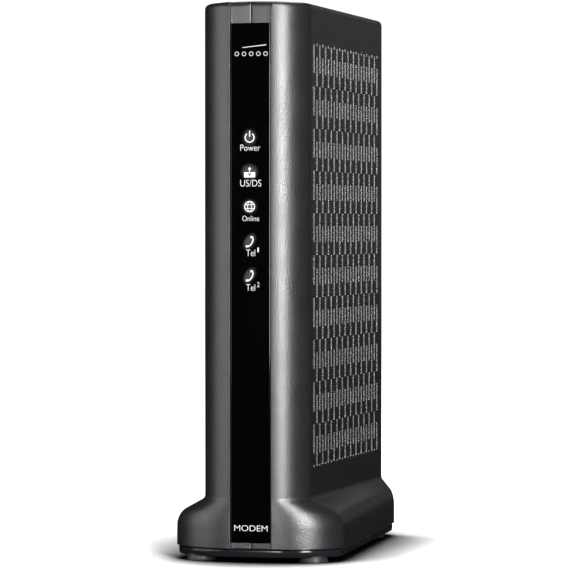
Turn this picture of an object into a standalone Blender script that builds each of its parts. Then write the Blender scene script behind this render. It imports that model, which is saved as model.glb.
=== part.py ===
"""Upright cable modem: a slim two-part case on a flared foot, with its boards, ports and one reset button.

Sizes are in millimetres and MM turns them into Blender's metres. The front faces -Y, +Z is up, and the
origin is the middle of the bounding box at the floor. The case halves meet in the plane X = 0.
"""

import math

import bmesh
import bpy

MM = 0.001
GAP = 0.3  # space left between pieces that touch

# Case
HEIGHT = 216.0
FRONT = -73.0  # the case's foremost line, either side of the lens channel
BACK = 65.0
HALF_BODY = 21.2  # half the width above the foot
HALF_FOOT_FRONT = 33.5
HALF_FOOT_REAR = 26.7
CASE_BOTTOM = 5.3
WALL = 2.2
REAR_RADIUS = 5.0
TOP_RADIUS = 2.2
CROWN = 0.55  # how far each half of the roof falls from the seam to the side
# Front corners: how far back they reach, the front's slope beside the channel, and two curve handles
BODY_CORNER = (12.0, math.radians(12.5), 7.4, 4.2)
FOOT_CORNER = (15.0, math.radians(1.5), 17.0, 2.8)

# Flare between body and foot: a rounded shoulder, a straight slope and a small hollow
SHOULDER_Z = 12.8  # the foot's side is upright below this
SHOULDER_RADIUS = 8.0
SLOPE = math.radians(28)
HOLLOW_RADIUS = 2.0

# Lens channel in the front
CHANNEL_HALF = 8.1
CHANNEL_DEPTH = 1.65
CHANNEL_BACK = FRONT + CHANNEL_DEPTH + 2.0  # the inner face of the wall behind the channel
LENS_HALF = 7.77
LENS_SETBACK = 0.35
LENS_THICK = 1.0
LENS_Z = (7.65, 207.45)

# Status lights, from the top
LIGHTS = {"power": 163.5, "data": 150.4, "online": 137.0, "line_1": 123.6, "line_2": 110.5}
WINDOW = (7.0, 6.0)

# Vents: upright slots in columns, with every other column a step lower
VENT_COLUMNS = 24
VENT_ROWS = 10
VENT_PITCH_Y = 4.72
VENT_PITCH_Z = 16.35
VENT_FIRST_Y = -57.0
VENT_TOP = 200.4
VENT_STAGGER = 4.95
SLOT_WIDTH = 1.8
SLOT_LENGTH = 12.0

# Base plate and feet
PLATE_BOTTOM = 2.0
PLATE_TOP = CASE_BOTTOM - GAP
PLATE_RIM_TOP = 8.0
FOOT_PAD_RADIUS = 5.75
FOOT_PAD_TOP = 2.5
FOOT_PADS = {"front": (22.5, FRONT + 10.5), "rear": (18.5, BACK - 13.0)}
BASE_SCREWS = {"front": (22.6, -30.0), "rear": (21.0, 22.0)}
BOSS_RADIUS = 2.9
BOSS_TOP = 20.4  # inside the shoulder, below its outer face
BOSS_BORE = 1.5
BOSS_BORE_TOP = 18.0
POST_RADIUS = 4.1  # the plate's own posts round its screws
HEAD_POCKET = (3.3, 2.4)  # radius and depth
SCREW_HOLE = 1.6

# Boards
BOARD_X = (-8.6, -7.0)
BOARD_Y = (-55.0, 57.0)
BOARD_Z = (27.5, 210.5)
BOARD_BOSS_RADIUS = 3.2
BOARD_BOSS_BORE = 1.4
BOARD_SCREWS = {"lower_front": (-49.0, 31.8), "lower_rear": (51.0, 31.8),
                "upper_front": (-49.0, 206.2), "upper_rear": (51.0, 206.2)}
ON_BOARD = BOARD_X[1] + GAP  # where parts stand on the main board
LIGHT_BOARD_Y = (-61.0, -59.8)

# Rear panel and ports
PANEL_FACE = BACK - 0.8
PANEL_THICK = 2.0
PANEL_HALF = 15.0
PANEL_Z = (36.0, 186.0)
PHONE_PORTS = {"phone_jack_1": 173.0, "phone_jack_2": 156.0}
NETWORK_PORTS = {"ethernet_jack_1": 134.0, "ethernet_jack_2": 114.5}
RESET_Z = 97.5
COAX_Z = 78.0
POWER_Z = 50.0
COAX_END = 73.0
COAX_RADIUS = 4.7
BUTTON_RADIUS = 1.6
BUTTON_RECESS = 0.9


# ---------------------------------------------------------------- helpers

def clear_scene():
    for old in list(bpy.data.objects):
        bpy.data.objects.remove(old, do_unlink=True)


def material(name, colour, roughness, metallic=0.0):
    """The named Principled material, made once."""
    found = bpy.data.materials.get(name)
    if found:
        return found
    made = bpy.data.materials.new(name)
    made.use_nodes = True
    shader = made.node_tree.nodes["Principled BSDF"]
    shader.inputs["Base Color"].default_value = (*colour, 1.0)
    shader.inputs["Roughness"].default_value = roughness
    shader.inputs["Metallic"].default_value = metallic
    made.diffuse_color = (*colour, 1.0)
    return made


def textured_plastic():
    return material("textured_plastic", (0.055, 0.055, 0.06), 0.48)


def black_plastic():
    return material("black_plastic", (0.02, 0.02, 0.022), 0.45)


def gloss_black():
    return material("gloss_black", (0.008, 0.008, 0.01), 0.08)


def board_green():
    return material("board_green", (0.02, 0.12, 0.05), 0.4)


def chip_black():
    return material("chip_black", (0.03, 0.03, 0.03), 0.55)


def bright_metal():
    return material("bright_metal", (0.72, 0.72, 0.7), 0.3, 1.0)


def finish(name, bm, look, origin=(0, 0, 0), smooth=False):
    """Makes a named object of a bmesh in millimetres, with its origin at the point given."""
    bmesh.ops.recalc_face_normals(bm, faces=bm.faces)
    for vert in bm.verts:
        vert.co = [(value - start) * MM for value, start in zip(vert.co, origin)]
    mesh = bpy.data.meshes.new(name)
    bm.to_mesh(mesh)
    bm.free()
    mesh.materials.append(look)
    made = bpy.data.objects.new(name, mesh)
    made.location = [value * MM for value in origin]
    bpy.context.scene.collection.objects.link(made)
    if smooth:
        mesh.shade_smooth()
        mesh.set_sharp_from_angle(angle=math.radians(35))
    return made


def helper(name, bm):
    """A hidden shape that a Boolean uses."""
    made = finish(name, bm, black_plastic())
    made.hide_render = True
    made.display_type = "WIRE"
    return made


def boolean(target, tool, operation="DIFFERENCE"):
    step = target.modifiers.new(tool.name, "BOOLEAN")
    step.object = tool
    step.operation = operation
    step.solver = "EXACT"


def add_box(bm, low, high):
    """Adds a closed box between two corners."""
    corners = [bm.verts.new((x, y, z)) for x in (low[0], high[0]) for y in (low[1], high[1])
               for z in (low[2], high[2])]
    for side in ((0, 1, 3, 2), (4, 6, 7, 5), (0, 4, 5, 1), (2, 3, 7, 6), (0, 2, 6, 4), (1, 5, 7, 3)):
        bm.faces.new([corners[i] for i in side])


def boxes(*pairs):
    bm = bmesh.new()
    for low, high in pairs:
        add_box(bm, low, high)
    return bm


def chamfered_box(low, high, chamfer):
    bm = boxes((low, high))
    bmesh.ops.bevel(bm, geom=list(bm.edges), offset=chamfer, segments=1, affect="EDGES")
    return bm


def add_loft(bm, rings, closed_ends=True):
    """Skins a stack of closed rings that all have the same number of points."""
    rows = [[bm.verts.new(point) for point in ring] for ring in rings]
    count = len(rows[0])
    for lower, upper in zip(rows, rows[1:]):
        for i in range(count):
            j = (i + 1) % count
            bm.faces.new((lower[i], lower[j], upper[j], upper[i]))
    if closed_ends:
        bm.faces.new(rows[0])
        bm.faces.new(rows[-1])


def circle(radius, height, centre, axis="Z", sides=16):
    """Points round an axis through the centre, at a height along that axis."""
    points = []
    for i in range(sides):
        angle = 2 * math.pi * i / sides
        u, v = radius * math.cos(angle), radius * math.sin(angle)
        offset = {"X": (height, u, v), "Y": (u, height, v), "Z": (u, v, height)}[axis]
        points.append([a + b for a, b in zip(centre, offset)])
    return points


def add_turned(bm, profile, centre, axis="Z", sides=16):
    """Adds a closed turned solid from (radius, height) pairs, every radius above zero."""
    add_loft(bm, [circle(radius, height, centre, axis, sides) for radius, height in profile])


def turned(profile, centre, axis="Z", sides=16):
    bm = bmesh.new()
    add_turned(bm, profile, centre, axis, sides)
    return bm


def rounded_rectangle(half_x, z_range, radius, y, steps=3):
    """Points of a round-cornered rectangle that stands in the plane of the rear panel."""
    low, high = z_range
    points = []
    for quarter, (cx, cz) in enumerate(((half_x - radius, high - radius), (radius - half_x, high - radius),
                                        (radius - half_x, low + radius), (half_x - radius, low + radius))):
        for i in range(steps + 1):
            angle = math.pi / 2 * (quarter + i / steps)
            points.append((cx + radius * math.cos(angle), y, cz + radius * math.sin(angle)))
    return points


# ---------------------------------------------------------------- case outline

def bezier(points, steps):
    """Points along a cubic curve, with both ends."""
    found = []
    for i in range(steps + 1):
        t = i / steps
        share = ((1 - t) ** 3, 3 * t * (1 - t) ** 2, 3 * t * t * (1 - t), t ** 3)
        found.append(tuple(sum(w * p[axis] for w, p in zip(share, points)) for axis in (0, 1)))
    return found


def half_outline(half_front, half_rear, corner, steps=8):
    """The right half of the case's plan without its channel, from beside the channel to the rear seam."""
    depth, slope, front_handle, side_handle = corner
    start = (CHANNEL_HALF, FRONT)
    end = (half_front, FRONT + depth)
    ahead = (start[0] + front_handle * math.cos(slope), start[1] + front_handle * math.sin(slope))
    curve = bezier([start, ahead, (end[0], end[1] - side_handle), end], steps)
    for i in range(5):
        angle = math.pi / 2 * i / 4
        curve.append((half_rear - REAR_RADIUS * (1 - math.cos(angle)),
                      BACK - REAR_RADIUS * (1 - math.sin(angle))))
    return curve + [(0.0, BACK)]


def case_outline(flare):
    """The plan of the right half, where flare runs from 0 on the body to 1 at the foot."""
    body = half_outline(HALF_BODY, HALF_BODY, BODY_CORNER)
    foot = half_outline(HALF_FOOT_FRONT, HALF_FOOT_REAR, FOOT_CORNER)
    return [(a[0] + flare * (b[0] - a[0]), a[1] + flare * (b[1] - a[1])) for a, b in zip(body, foot)]


def inset(points, distance):
    """Moves an open outline inwards. Its ends keep to the lines they stand on."""
    moved = []
    for i, here in enumerate(points):
        before = points[max(i - 1, 0)]
        after = points[min(i + 1, len(points) - 1)]
        normals = []
        for a, b in ((before, here), (here, after)):
            length = math.hypot(b[0] - a[0], b[1] - a[1])
            if length > 1e-9:
                normals.append(((a[1] - b[1]) / length, (b[0] - a[0]) / length))
        nx = sum(n[0] for n in normals) / len(normals)
        ny = sum(n[1] for n in normals) / len(normals)
        scale = distance / (nx * nx + ny * ny)
        moved.append((here[0] + nx * scale, here[1] + ny * scale))
    return moved


def with_channel(outline):
    floor = FRONT + CHANNEL_DEPTH
    return [(0.0, floor), (CHANNEL_HALF, floor)] + outline


def flare_levels():
    """(height, flare) pairs up the outside of the case, from its lower edge to where the body is straight."""
    full = HALF_FOOT_FRONT - HALF_BODY
    turn = math.pi / 2 - SLOPE
    levels = [(CASE_BOTTOM, 1.0)]
    for i in range(6):
        angle = turn * i / 5
        out = SHOULDER_RADIUS * (1 - math.cos(angle))
        levels.append((SHOULDER_Z + SHOULDER_RADIUS * math.sin(angle), 1 - out / full))
    hollow_width = HOLLOW_RADIUS * (1 - math.sin(SLOPE))
    out = SHOULDER_RADIUS * (1 - math.cos(turn))
    run = full - hollow_width - out
    slope_top = levels[-1][0] + run * math.tan(SLOPE)
    for i in range(4):
        angle = SLOPE + (math.pi / 2 - SLOPE) * i / 3
        levels.append((slope_top + HOLLOW_RADIUS * (math.cos(SLOPE) - math.cos(angle)),
                       HOLLOW_RADIUS * (1 - math.sin(angle)) / full))
    return levels


def outer_rings():
    rings = [(z, with_channel(case_outline(flare))) for z, flare in flare_levels()]
    body = with_channel(case_outline(0.0))
    for i in range(5):
        angle = math.pi / 2 * i / 4
        rings.append((HEIGHT - TOP_RADIUS * (1 - math.sin(angle)),
                      inset(body, TOP_RADIUS * (1 - math.cos(angle)))))
    return rings


def inner_rings():
    """The cavity's outlines: a wall's thickness inside, and flat behind the channel."""
    rings = []
    levels = flare_levels()
    for z, flare in levels[:-3] + [levels[-1]]:
        drop = 0.0 if z == CASE_BOTTOM else WALL * 0.8
        rings.append((max(z - drop, CASE_BOTTOM), cavity_outline(flare)))
    rings.append((HEIGHT - WALL, cavity_outline(0.0)))
    return rings


def cavity_outline(flare):
    outline = [(x, max(y, CHANNEL_BACK)) for x, y in inset(case_outline(flare), WALL)]
    return [(0.0, CHANNEL_BACK), (CHANNEL_HALF - 1, CHANNEL_BACK)] + outline


# ---------------------------------------------------------------- case halves

def case_shell(side):
    """One half of the case as a closed shell, open at the bottom. side is +1 for right and -1 for left."""
    bm = bmesh.new()
    seam = side * GAP / 2

    def stand(x, y, z):
        fall = CROWN * x / HALF_BODY if z >= HEIGHT - TOP_RADIUS + 0.001 else 0.0
        return bm.verts.new((seam if x == 0.0 else side * x, y, z - fall))

    outer = [[stand(x, y, z) for x, y in ring] for z, ring in outer_rings()]
    inner = [[stand(x, y, z) for x, y in ring] for z, ring in inner_rings()]
    for rows in (outer, inner):
        for lower, upper in zip(rows, rows[1:]):
            for i in range(len(lower) - 1):
                bm.faces.new((lower[i], lower[i + 1], upper[i + 1], upper[i]))
        bm.faces.new(rows[-1])
    bm.faces.new(outer[0] + inner[0][::-1])

    def seam_path(rows):
        return [row[0] for row in rows] + [row[-1] for row in reversed(rows)]

    bm.faces.new(seam_path(outer) + seam_path(inner)[::-1])
    return bm


def vent_slots(side):
    """Boxes through the side wall, one for each slot. Every other column sits lower by the stagger."""
    bm = bmesh.new()
    near, far = sorted((side * (HALF_BODY - WALL - 1.5), side * (HALF_BODY + 1.5)))
    for column in range(VENT_COLUMNS):
        y = VENT_FIRST_Y + column * VENT_PITCH_Y
        top = VENT_TOP - VENT_STAGGER * (column % 2)
        for row in range(VENT_ROWS):
            z = top - row * VENT_PITCH_Z
            add_box(bm, (near, y - SLOT_WIDTH / 2, z - SLOT_LENGTH), (far, y + SLOT_WIDTH / 2, z))
    return bm


def case_openings():
    """The light windows and the rear panel's opening, cut through both halves."""
    bm = bmesh.new()
    for z in LIGHTS.values():
        add_box(bm, (-WINDOW[0] / 2, FRONT - 1, z - WINDOW[1] / 2),
                (WINDOW[0] / 2, FRONT + CHANNEL_DEPTH + 4, z + WINDOW[1] / 2))
    low, high = PANEL_Z
    add_loft(bm, [rounded_rectangle(PANEL_HALF, (low, high), 3.0, y) for y in (BACK - WALL - 2, BACK + 2)])
    return bm


def base_bosses(side):
    """Screw posts that hang from the shoulder down to the base plate."""
    bm = bmesh.new()
    for x, y in BASE_SCREWS.values():
        add_turned(bm, [(BOSS_RADIUS, PLATE_RIM_TOP + GAP), (BOSS_RADIUS, BOSS_TOP)],
                   (side * x, y, 0), "Z", 12)
    return bm


def base_boss_holes(side):
    bm = bmesh.new()
    for x, y in BASE_SCREWS.values():
        add_turned(bm, [(BOSS_BORE, PLATE_RIM_TOP - 1), (BOSS_BORE, BOSS_BORE_TOP)],
                   (side * x, y, 0), "Z", 10)
    return bm


def board_bosses():
    bm = bmesh.new()
    for y, z in BOARD_SCREWS.values():
        add_turned(bm, [(BOARD_BOSS_RADIUS, WALL / 2 - HALF_BODY), (BOARD_BOSS_RADIUS, BOARD_X[0] - GAP)],
                   (0, y, z), "X", 12)
    return bm


def board_boss_holes():
    bm = bmesh.new()
    for y, z in BOARD_SCREWS.values():
        add_turned(bm, [(BOARD_BOSS_BORE, BOARD_X[0] - 8.0), (BOARD_BOSS_BORE, BOARD_X[0] + 1)],
                   (0, y, z), "X", 10)
    return bm


def seam_tabs():
    """Tongues on the left half that reach past the seam, inside the right half."""
    roof = HEIGHT - WALL
    pairs = []
    for y in (-38.0, 2.0, 42.0):
        pairs.append(((-4.5, y - 5, roof - 2.3), (-0.6, y + 5, roof + 0.8)))
        pairs.append(((-4.0, y - 4.5, roof - 2.1), (3.0, y + 4.5, roof - GAP)))
    for z in (70.0, 190.0):
        pairs.append(((-4.5, CHANNEL_BACK - 0.8, z - 5), (-0.6, CHANNEL_BACK + 2.3, z + 5)))
        pairs.append(((-4.0, CHANNEL_BACK + GAP, z - 4.5), (3.0, CHANNEL_BACK + 2.1, z + 4.5)))
    return pairs


def make_case():
    openings = helper("cut_case_openings", case_openings())
    for name, side in (("right_housing", 1), ("left_housing", -1)):
        shell = finish(name, case_shell(side), textured_plastic(), smooth=True)
        boolean(shell, helper(f"cut_{name}_vents", vent_slots(side)))
        boolean(shell, openings)
        boolean(shell, helper(f"add_{name}_bosses", base_bosses(side)), "UNION")
        boolean(shell, helper(f"cut_{name}_boss_holes", base_boss_holes(side)))
    boolean(shell, helper("add_board_bosses", board_bosses()), "UNION")
    boolean(shell, helper("cut_board_boss_holes", board_boss_holes()))
    for i, (low, high) in enumerate(seam_tabs()):
        boolean(shell, helper(f"add_seam_tab_{i}", boxes((low, high))), "UNION")


# ---------------------------------------------------------------- base

def full_outline(distance, z):
    """The whole foot's plan, a distance inside the case's outer face, at one height."""
    right = inset(case_outline(1.0), distance)[:-1]
    if distance > WALL:
        right = [(x, max(y, CHANNEL_BACK + distance - WALL)) for x, y in right]
    return [(x, y, z) for x, y in right] + [(-x, y, z) for x, y in reversed(right)]


def make_base():
    rings = [full_outline(distance, z) for distance, z in (
        (2.0, PLATE_BOTTOM), (1.25, PLATE_BOTTOM + 0.35), (0.9, PLATE_BOTTOM + 1.1), (0.7, PLATE_TOP),
        (WALL + 0.4, PLATE_TOP), (WALL + 0.5, PLATE_RIM_TOP), (WALL + 2.0, PLATE_RIM_TOP),
        (WALL + 2.2, PLATE_TOP - 0.6))]
    bm = bmesh.new()
    add_loft(bm, rings)
    plate = finish("base_plate", bm, gloss_black(), smooth=True)
    posts = bmesh.new()
    holes = bmesh.new()
    for x, y in mirrored(BASE_SCREWS):
        pocket, deep = HEAD_POCKET
        add_turned(posts, [(POST_RADIUS, PLATE_TOP - 1), (POST_RADIUS, PLATE_RIM_TOP)], (x, y, 0), "Z", 12)
        add_turned(holes, [(pocket, PLATE_BOTTOM - 1), (pocket, PLATE_BOTTOM + deep),
                           (SCREW_HOLE, PLATE_BOTTOM + deep), (SCREW_HOLE, PLATE_RIM_TOP + 1)],
                   (x, y, 0), "Z", 12)
    for x, y in mirrored(FOOT_PADS):
        add_turned(holes, [(FOOT_PAD_RADIUS + GAP, PLATE_BOTTOM - 1),
                           (FOOT_PAD_RADIUS + GAP, FOOT_PAD_TOP + GAP)], (x, y, 0), "Z", 16)
    boolean(plate, helper("add_plate_posts", posts), "UNION")
    boolean(plate, helper("cut_plate_holes", holes))


def mirrored(places):
    return [(side * x, y) for x, y in places.values() for side in (1, -1)]


def make_feet_and_base_screws():
    rubber = material("foot_rubber", (0.03, 0.03, 0.032), 0.7)
    for end, (x, y) in FOOT_PADS.items():
        for side, name in ((1, "right"), (-1, "left")):
            pad = turned([(FOOT_PAD_RADIUS - 0.7, 0.0), (FOOT_PAD_RADIUS - 0.2, 0.4),
                          (FOOT_PAD_RADIUS, FOOT_PAD_TOP)], (0, 0, 0), "Z", 16)
            place(pad, (side * x, y, 0))
            finish(f"foot_{end}_{name}", pad, rubber, (side * x, y, 0), smooth=True)
    for end, (x, y) in BASE_SCREWS.items():
        for side, name in ((1, "right"), (-1, "left")):
            screw(f"base_screw_{end}_{name}", (side * x, y, PLATE_BOTTOM + 0.5), "Z", 2.9, 1.2, 14.0)


def place(bm, offset):
    for vert in bm.verts:
        vert.co = [a + b for a, b in zip(vert.co, offset)]


def screw(name, head, axis, head_radius, shank_radius, length):
    """A pan-head screw. head is the middle of its outer face and length runs along +axis from there."""
    sign = 1 if length > 0 else -1
    profile = [(head_radius - 0.5, 0.0), (head_radius, 0.5 * sign), (head_radius, 1.5 * sign),
               (shank_radius, 1.5 * sign), (shank_radius, length - sign), (shank_radius * 0.4, length)]
    made = finish(name, turned(profile, head, axis, 10), bright_metal(), head, smooth=True)
    recess = bmesh.new()
    across = "XYZ".index(axis)
    for arm in [i for i in range(3) if i != across]:
        low, high = list(head), list(head)
        for i in range(3):
            reach = 1.6 if i == arm else 0.35
            low[i], high[i] = (head[i] - reach, head[i] + reach)
        low[across], high[across] = sorted((head[across] - sign, head[across] + 0.8 * sign))
        add_box(recess, low, high)
    bmesh.ops.recalc_face_normals(recess, faces=recess.faces)
    cutter = helper(f"cut_{name}", recess)
    step = made.modifiers.new("cross", "BOOLEAN")
    step.object = cutter
    step.operation = "DIFFERENCE"
    step.solver = "EXACT"
    step.use_self = True


# ---------------------------------------------------------------- front lights

def make_front():
    lens_front = FRONT + LENS_SETBACK
    finish("front_lens", chamfered_box((-LENS_HALF, lens_front, LENS_Z[0]),
                                       (LENS_HALF, lens_front + LENS_THICK, LENS_Z[1]), 0.2),
           gloss_black())
    lowest, highest = min(LIGHTS.values()), max(LIGHTS.values())
    mask_front = CHANNEL_BACK + GAP
    mask = finish("light_mask", chamfered_box((-6.6, mask_front, lowest - 8),
                                              (6.6, mask_front + 2, highest + 8), 0.3), black_plastic())
    holes = bmesh.new()
    clear = material("light_pipe", (0.8, 0.82, 0.85), 0.15)
    white = material("led_white", (0.9, 0.9, 0.82), 0.4)
    pipe_front = lens_front + LENS_THICK + GAP
    for name, z in LIGHTS.items():
        half_x, half_z = WINDOW[0] / 2 - GAP, WINDOW[1] / 2 - GAP
        stub_end = mask_front - GAP
        stem_end = LIGHT_BOARD_Y[0] - 1.6
        rings = [[(sx * hx, y, z + sz * hz) for sx, sz in ((1, 1), (-1, 1), (-1, -1), (1, -1))]
                 for hx, hz, y in ((half_x - 0.2, half_z - 0.2, pipe_front),
                                   (half_x, half_z, pipe_front + 0.2), (half_x, half_z, stub_end),
                                   (2.0, 2.0, stub_end), (1.6, 1.6, stem_end))]
        pipe = bmesh.new()
        add_loft(pipe, rings)
        finish(f"light_pipe_{name}", pipe, clear)
        add_box(holes, (-2.3, mask_front - 1, z - 2.3), (2.3, mask_front + 3, z + 2.3))
        finish(f"led_{name}", chamfered_box((-1.4, LIGHT_BOARD_Y[0] - GAP - 0.9, z - 0.8),
                                            (1.4, LIGHT_BOARD_Y[0] - GAP, z + 0.8), 0.15), white)
    boolean(mask, helper("cut_light_mask", holes))
    finish("light_board", chamfered_box((-7.0, LIGHT_BOARD_Y[0], lowest - 9),
                                        (7.0, LIGHT_BOARD_Y[1], highest + 9), 0.1), board_green())
    middle = (lowest + highest) / 2
    finish("board_link", chamfered_box((ON_BOARD, LIGHT_BOARD_Y[1] + GAP, middle - 6),
                                       (ON_BOARD + 5.5, BOARD_Y[0] + 6, middle + 6), 0.3), black_plastic())


# ---------------------------------------------------------------- main board

def make_board():
    board = finish("main_board", chamfered_box((BOARD_X[0], BOARD_Y[0], BOARD_Z[0]),
                                               (BOARD_X[1], BOARD_Y[1], BOARD_Z[1]), 0.1), board_green())
    holes = bmesh.new()
    for name, (y, z) in BOARD_SCREWS.items():
        add_turned(holes, [(1.6, BOARD_X[0] - 1), (1.6, BOARD_X[1] + 1)], (0, y, z), "X", 12)
        screw(f"board_screw_{name}", (ON_BOARD + 1.5, y, z), "X", 2.8, 1.1, -9.0)
    boolean(board, helper("cut_main_board", holes))


def make_chips():
    """Flat parts on the board: name, middle (y, z), size (y, z), height."""
    chips = (("processor", (-14.0, 122.0), (25.0, 25.0), 1.4),
             ("memory_chip", (-14.0, 94.0), (13.0, 9.0), 1.1),
             ("flash_chip", (-38.0, 84.0), (12.0, 16.0), 1.1),
             ("phone_line_chip", (28.0, 165.0), (9.0, 9.0), 1.0),
             ("ethernet_transformer_1", (25.0, 134.0), (10.0, 14.0), 5.5),
             ("ethernet_transformer_2", (25.0, 114.5), (10.0, 14.0), 5.5))
    for name, (y, z), (size_y, size_z), height in chips:
        finish(name, chamfered_box((ON_BOARD, y - size_y / 2, z - size_z / 2),
                                   (ON_BOARD + height, y + size_y / 2, z + size_z / 2), 0.25), chip_black())
    pad_start = ON_BOARD + 1.4 + GAP
    finish("thermal_pad", chamfered_box((pad_start, -25.0, 111.0), (pad_start + 0.8, -3.0, 133.0), 0.15),
           material("thermal_pad", (0.45, 0.52, 0.6), 0.8))
    return pad_start + 0.8 + GAP


def make_heat_sink(start):
    """A finned plate whose fins run upright."""
    y_low, y_high, base, tip = -46.0, 16.0, 2.4, 15.0
    fins, fin = 11, 1.4
    pitch = (y_high - y_low - fin) / (fins - 1)
    outline = [(start, y_high), (start, y_low)]
    for i in range(fins):
        y = y_low + i * pitch
        outline += [(start + tip, y), (start + tip, y + fin)]
        if i < fins - 1:
            outline += [(start + base, y + fin), (start + base, y + pitch)]
    bm = bmesh.new()
    add_loft(bm, [[(x, y, z) for x, y in outline] for z in (102.0, 168.0)])
    finish("heat_sink", bm, material("sink_aluminium", (0.6, 0.61, 0.62), 0.35, 1.0))


def make_power_parts():
    for i, (y, z) in enumerate(((18.0, 44.0), (18.0, 57.0), (2.0, 48.0)), 1):
        can = turned([(4.6, ON_BOARD), (5.0, ON_BOARD + 0.5), (5.0, ON_BOARD + 1.8), (4.7, ON_BOARD + 2.3),
                      (5.0, ON_BOARD + 2.8), (5.0, ON_BOARD + 14.0), (4.5, ON_BOARD + 14.5)],
                     (0, y, z), "X", 16)
        finish(f"capacitor_{i}", can, material("capacitor_sleeve", (0.03, 0.04, 0.09), 0.4), smooth=True)
    finish("power_inductor", chamfered_box((ON_BOARD, -20.0, 42.0), (ON_BOARD + 5.0, -8.0, 54.0), 1.2),
           chip_black())


# ---------------------------------------------------------------- rear panel and ports

def port_cutter(low, high):
    """A box straight through the panel, between two (x, z) corners."""
    return ((low[0], PANEL_FACE - 6, low[1]), (high[0], PANEL_FACE + 3, high[1]))


def make_rear_panel():
    edge = [rounded_rectangle(PANEL_HALF - GAP, (PANEL_Z[0] + GAP, PANEL_Z[1] - GAP), 3.0 - GAP, y)
            for y in (PANEL_FACE - PANEL_THICK, PANEL_FACE)]
    panel = finish("rear_panel", bmesh_loft(edge), black_plastic())
    flange_back = BACK - WALL - GAP
    flange = [rounded_rectangle(PANEL_HALF + 1.5, (PANEL_Z[0] - 2, PANEL_Z[1] + 2), 3.5, y)
              for y in (flange_back - 1.2, flange_back)]
    boolean(panel, helper("add_panel_flange", bmesh_loft(flange)), "UNION")
    cuts = bmesh.new()
    for z in PHONE_PORTS.values():
        add_box(cuts, *port_cutter((-6.5 - GAP, z - 6.6 - GAP), (6.5 + GAP, z + 6.6 + GAP)))
    for z in NETWORK_PORTS.values():
        add_box(cuts, *port_cutter((-6.7 - GAP, z - 8.0 - GAP), (6.7 + GAP, z + 8.0 + GAP)))
    for radius, z in ((BUTTON_RADIUS + GAP, RESET_Z), (COAX_RADIUS + GAP, COAX_Z), (4.3 + GAP, POWER_Z)):
        add_turned(cuts, [(radius, PANEL_FACE - 6), (radius, PANEL_FACE + 3)], (0, 0, z), "Y", 24)
    boolean(panel, helper("cut_panel_ports", cuts))


def bmesh_loft(rings):
    bm = bmesh.new()
    add_loft(bm, rings)
    return bm


def make_jack(name, z, half_x, half_z, depth, socket, notch, look):
    """A socket block that faces the rear. socket is (half x, half z, depth) and notch the latch's step."""
    face = PANEL_FACE - 0.2
    body = finish(name, chamfered_box((-half_x, face - depth, z - half_z), (half_x, face, z + half_z), 0.3),
                  look)
    sx, sz, deep = socket
    cutter = boxes(((-sx, face - deep, z - sz), (sx, face + 1, z + sz)))
    boolean(body, helper(f"cut_{name}_socket", cutter))
    latch = boxes(((sx - 0.5, face - deep + 2, z - notch[1]), (sx + notch[0], face + 1, z + notch[1])))
    boolean(body, helper(f"cut_{name}_latch", latch))


def make_ports():
    shield = material("jack_shield", (0.7, 0.7, 0.68), 0.28, 1.0)
    dark_resin = material("phone_jack", (0.07, 0.07, 0.075), 0.45)
    for name, z in PHONE_PORTS.items():
        make_jack(name, z, 6.5, 6.6, 17.0, (3.4, 4.9, 11.0), (1.6, 1.7), dark_resin)
    for name, z in NETWORK_PORTS.items():
        make_jack(name, z, 6.7, 8.0, 21.0, (3.8, 5.9, 13.0), (1.8, 3.0), shield)
    make_power_jack()
    make_coax()
    make_reset()


def make_power_jack():
    """A barrel socket with its centre pin."""
    face = PANEL_FACE - 0.2
    body = finish("power_jack", chamfered_box((-5.6, face - 14.0, POWER_Z - 4.8),
                                              (5.6, PANEL_FACE - 5.0, POWER_Z + 4.8), 0.3), black_plastic())
    nose = turned([(4.3, PANEL_FACE - 8.0), (4.3, face - 0.3), (4.0, face)], (0, 0, POWER_Z), "Y", 24)
    boolean(body, helper("add_power_nose", nose), "UNION")
    bore = turned([(3.1, face - 10.0), (3.1, face + 1)], (0, 0, POWER_Z), "Y", 20)
    boolean(body, helper("cut_power_bore", bore))
    pin = turned([(1.0, face - 11.0), (1.0, face - 2.4), (0.6, face - 2.0)], (0, 0, POWER_Z), "Y", 10)
    boolean(body, helper("add_power_pin", pin), "UNION")


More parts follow.
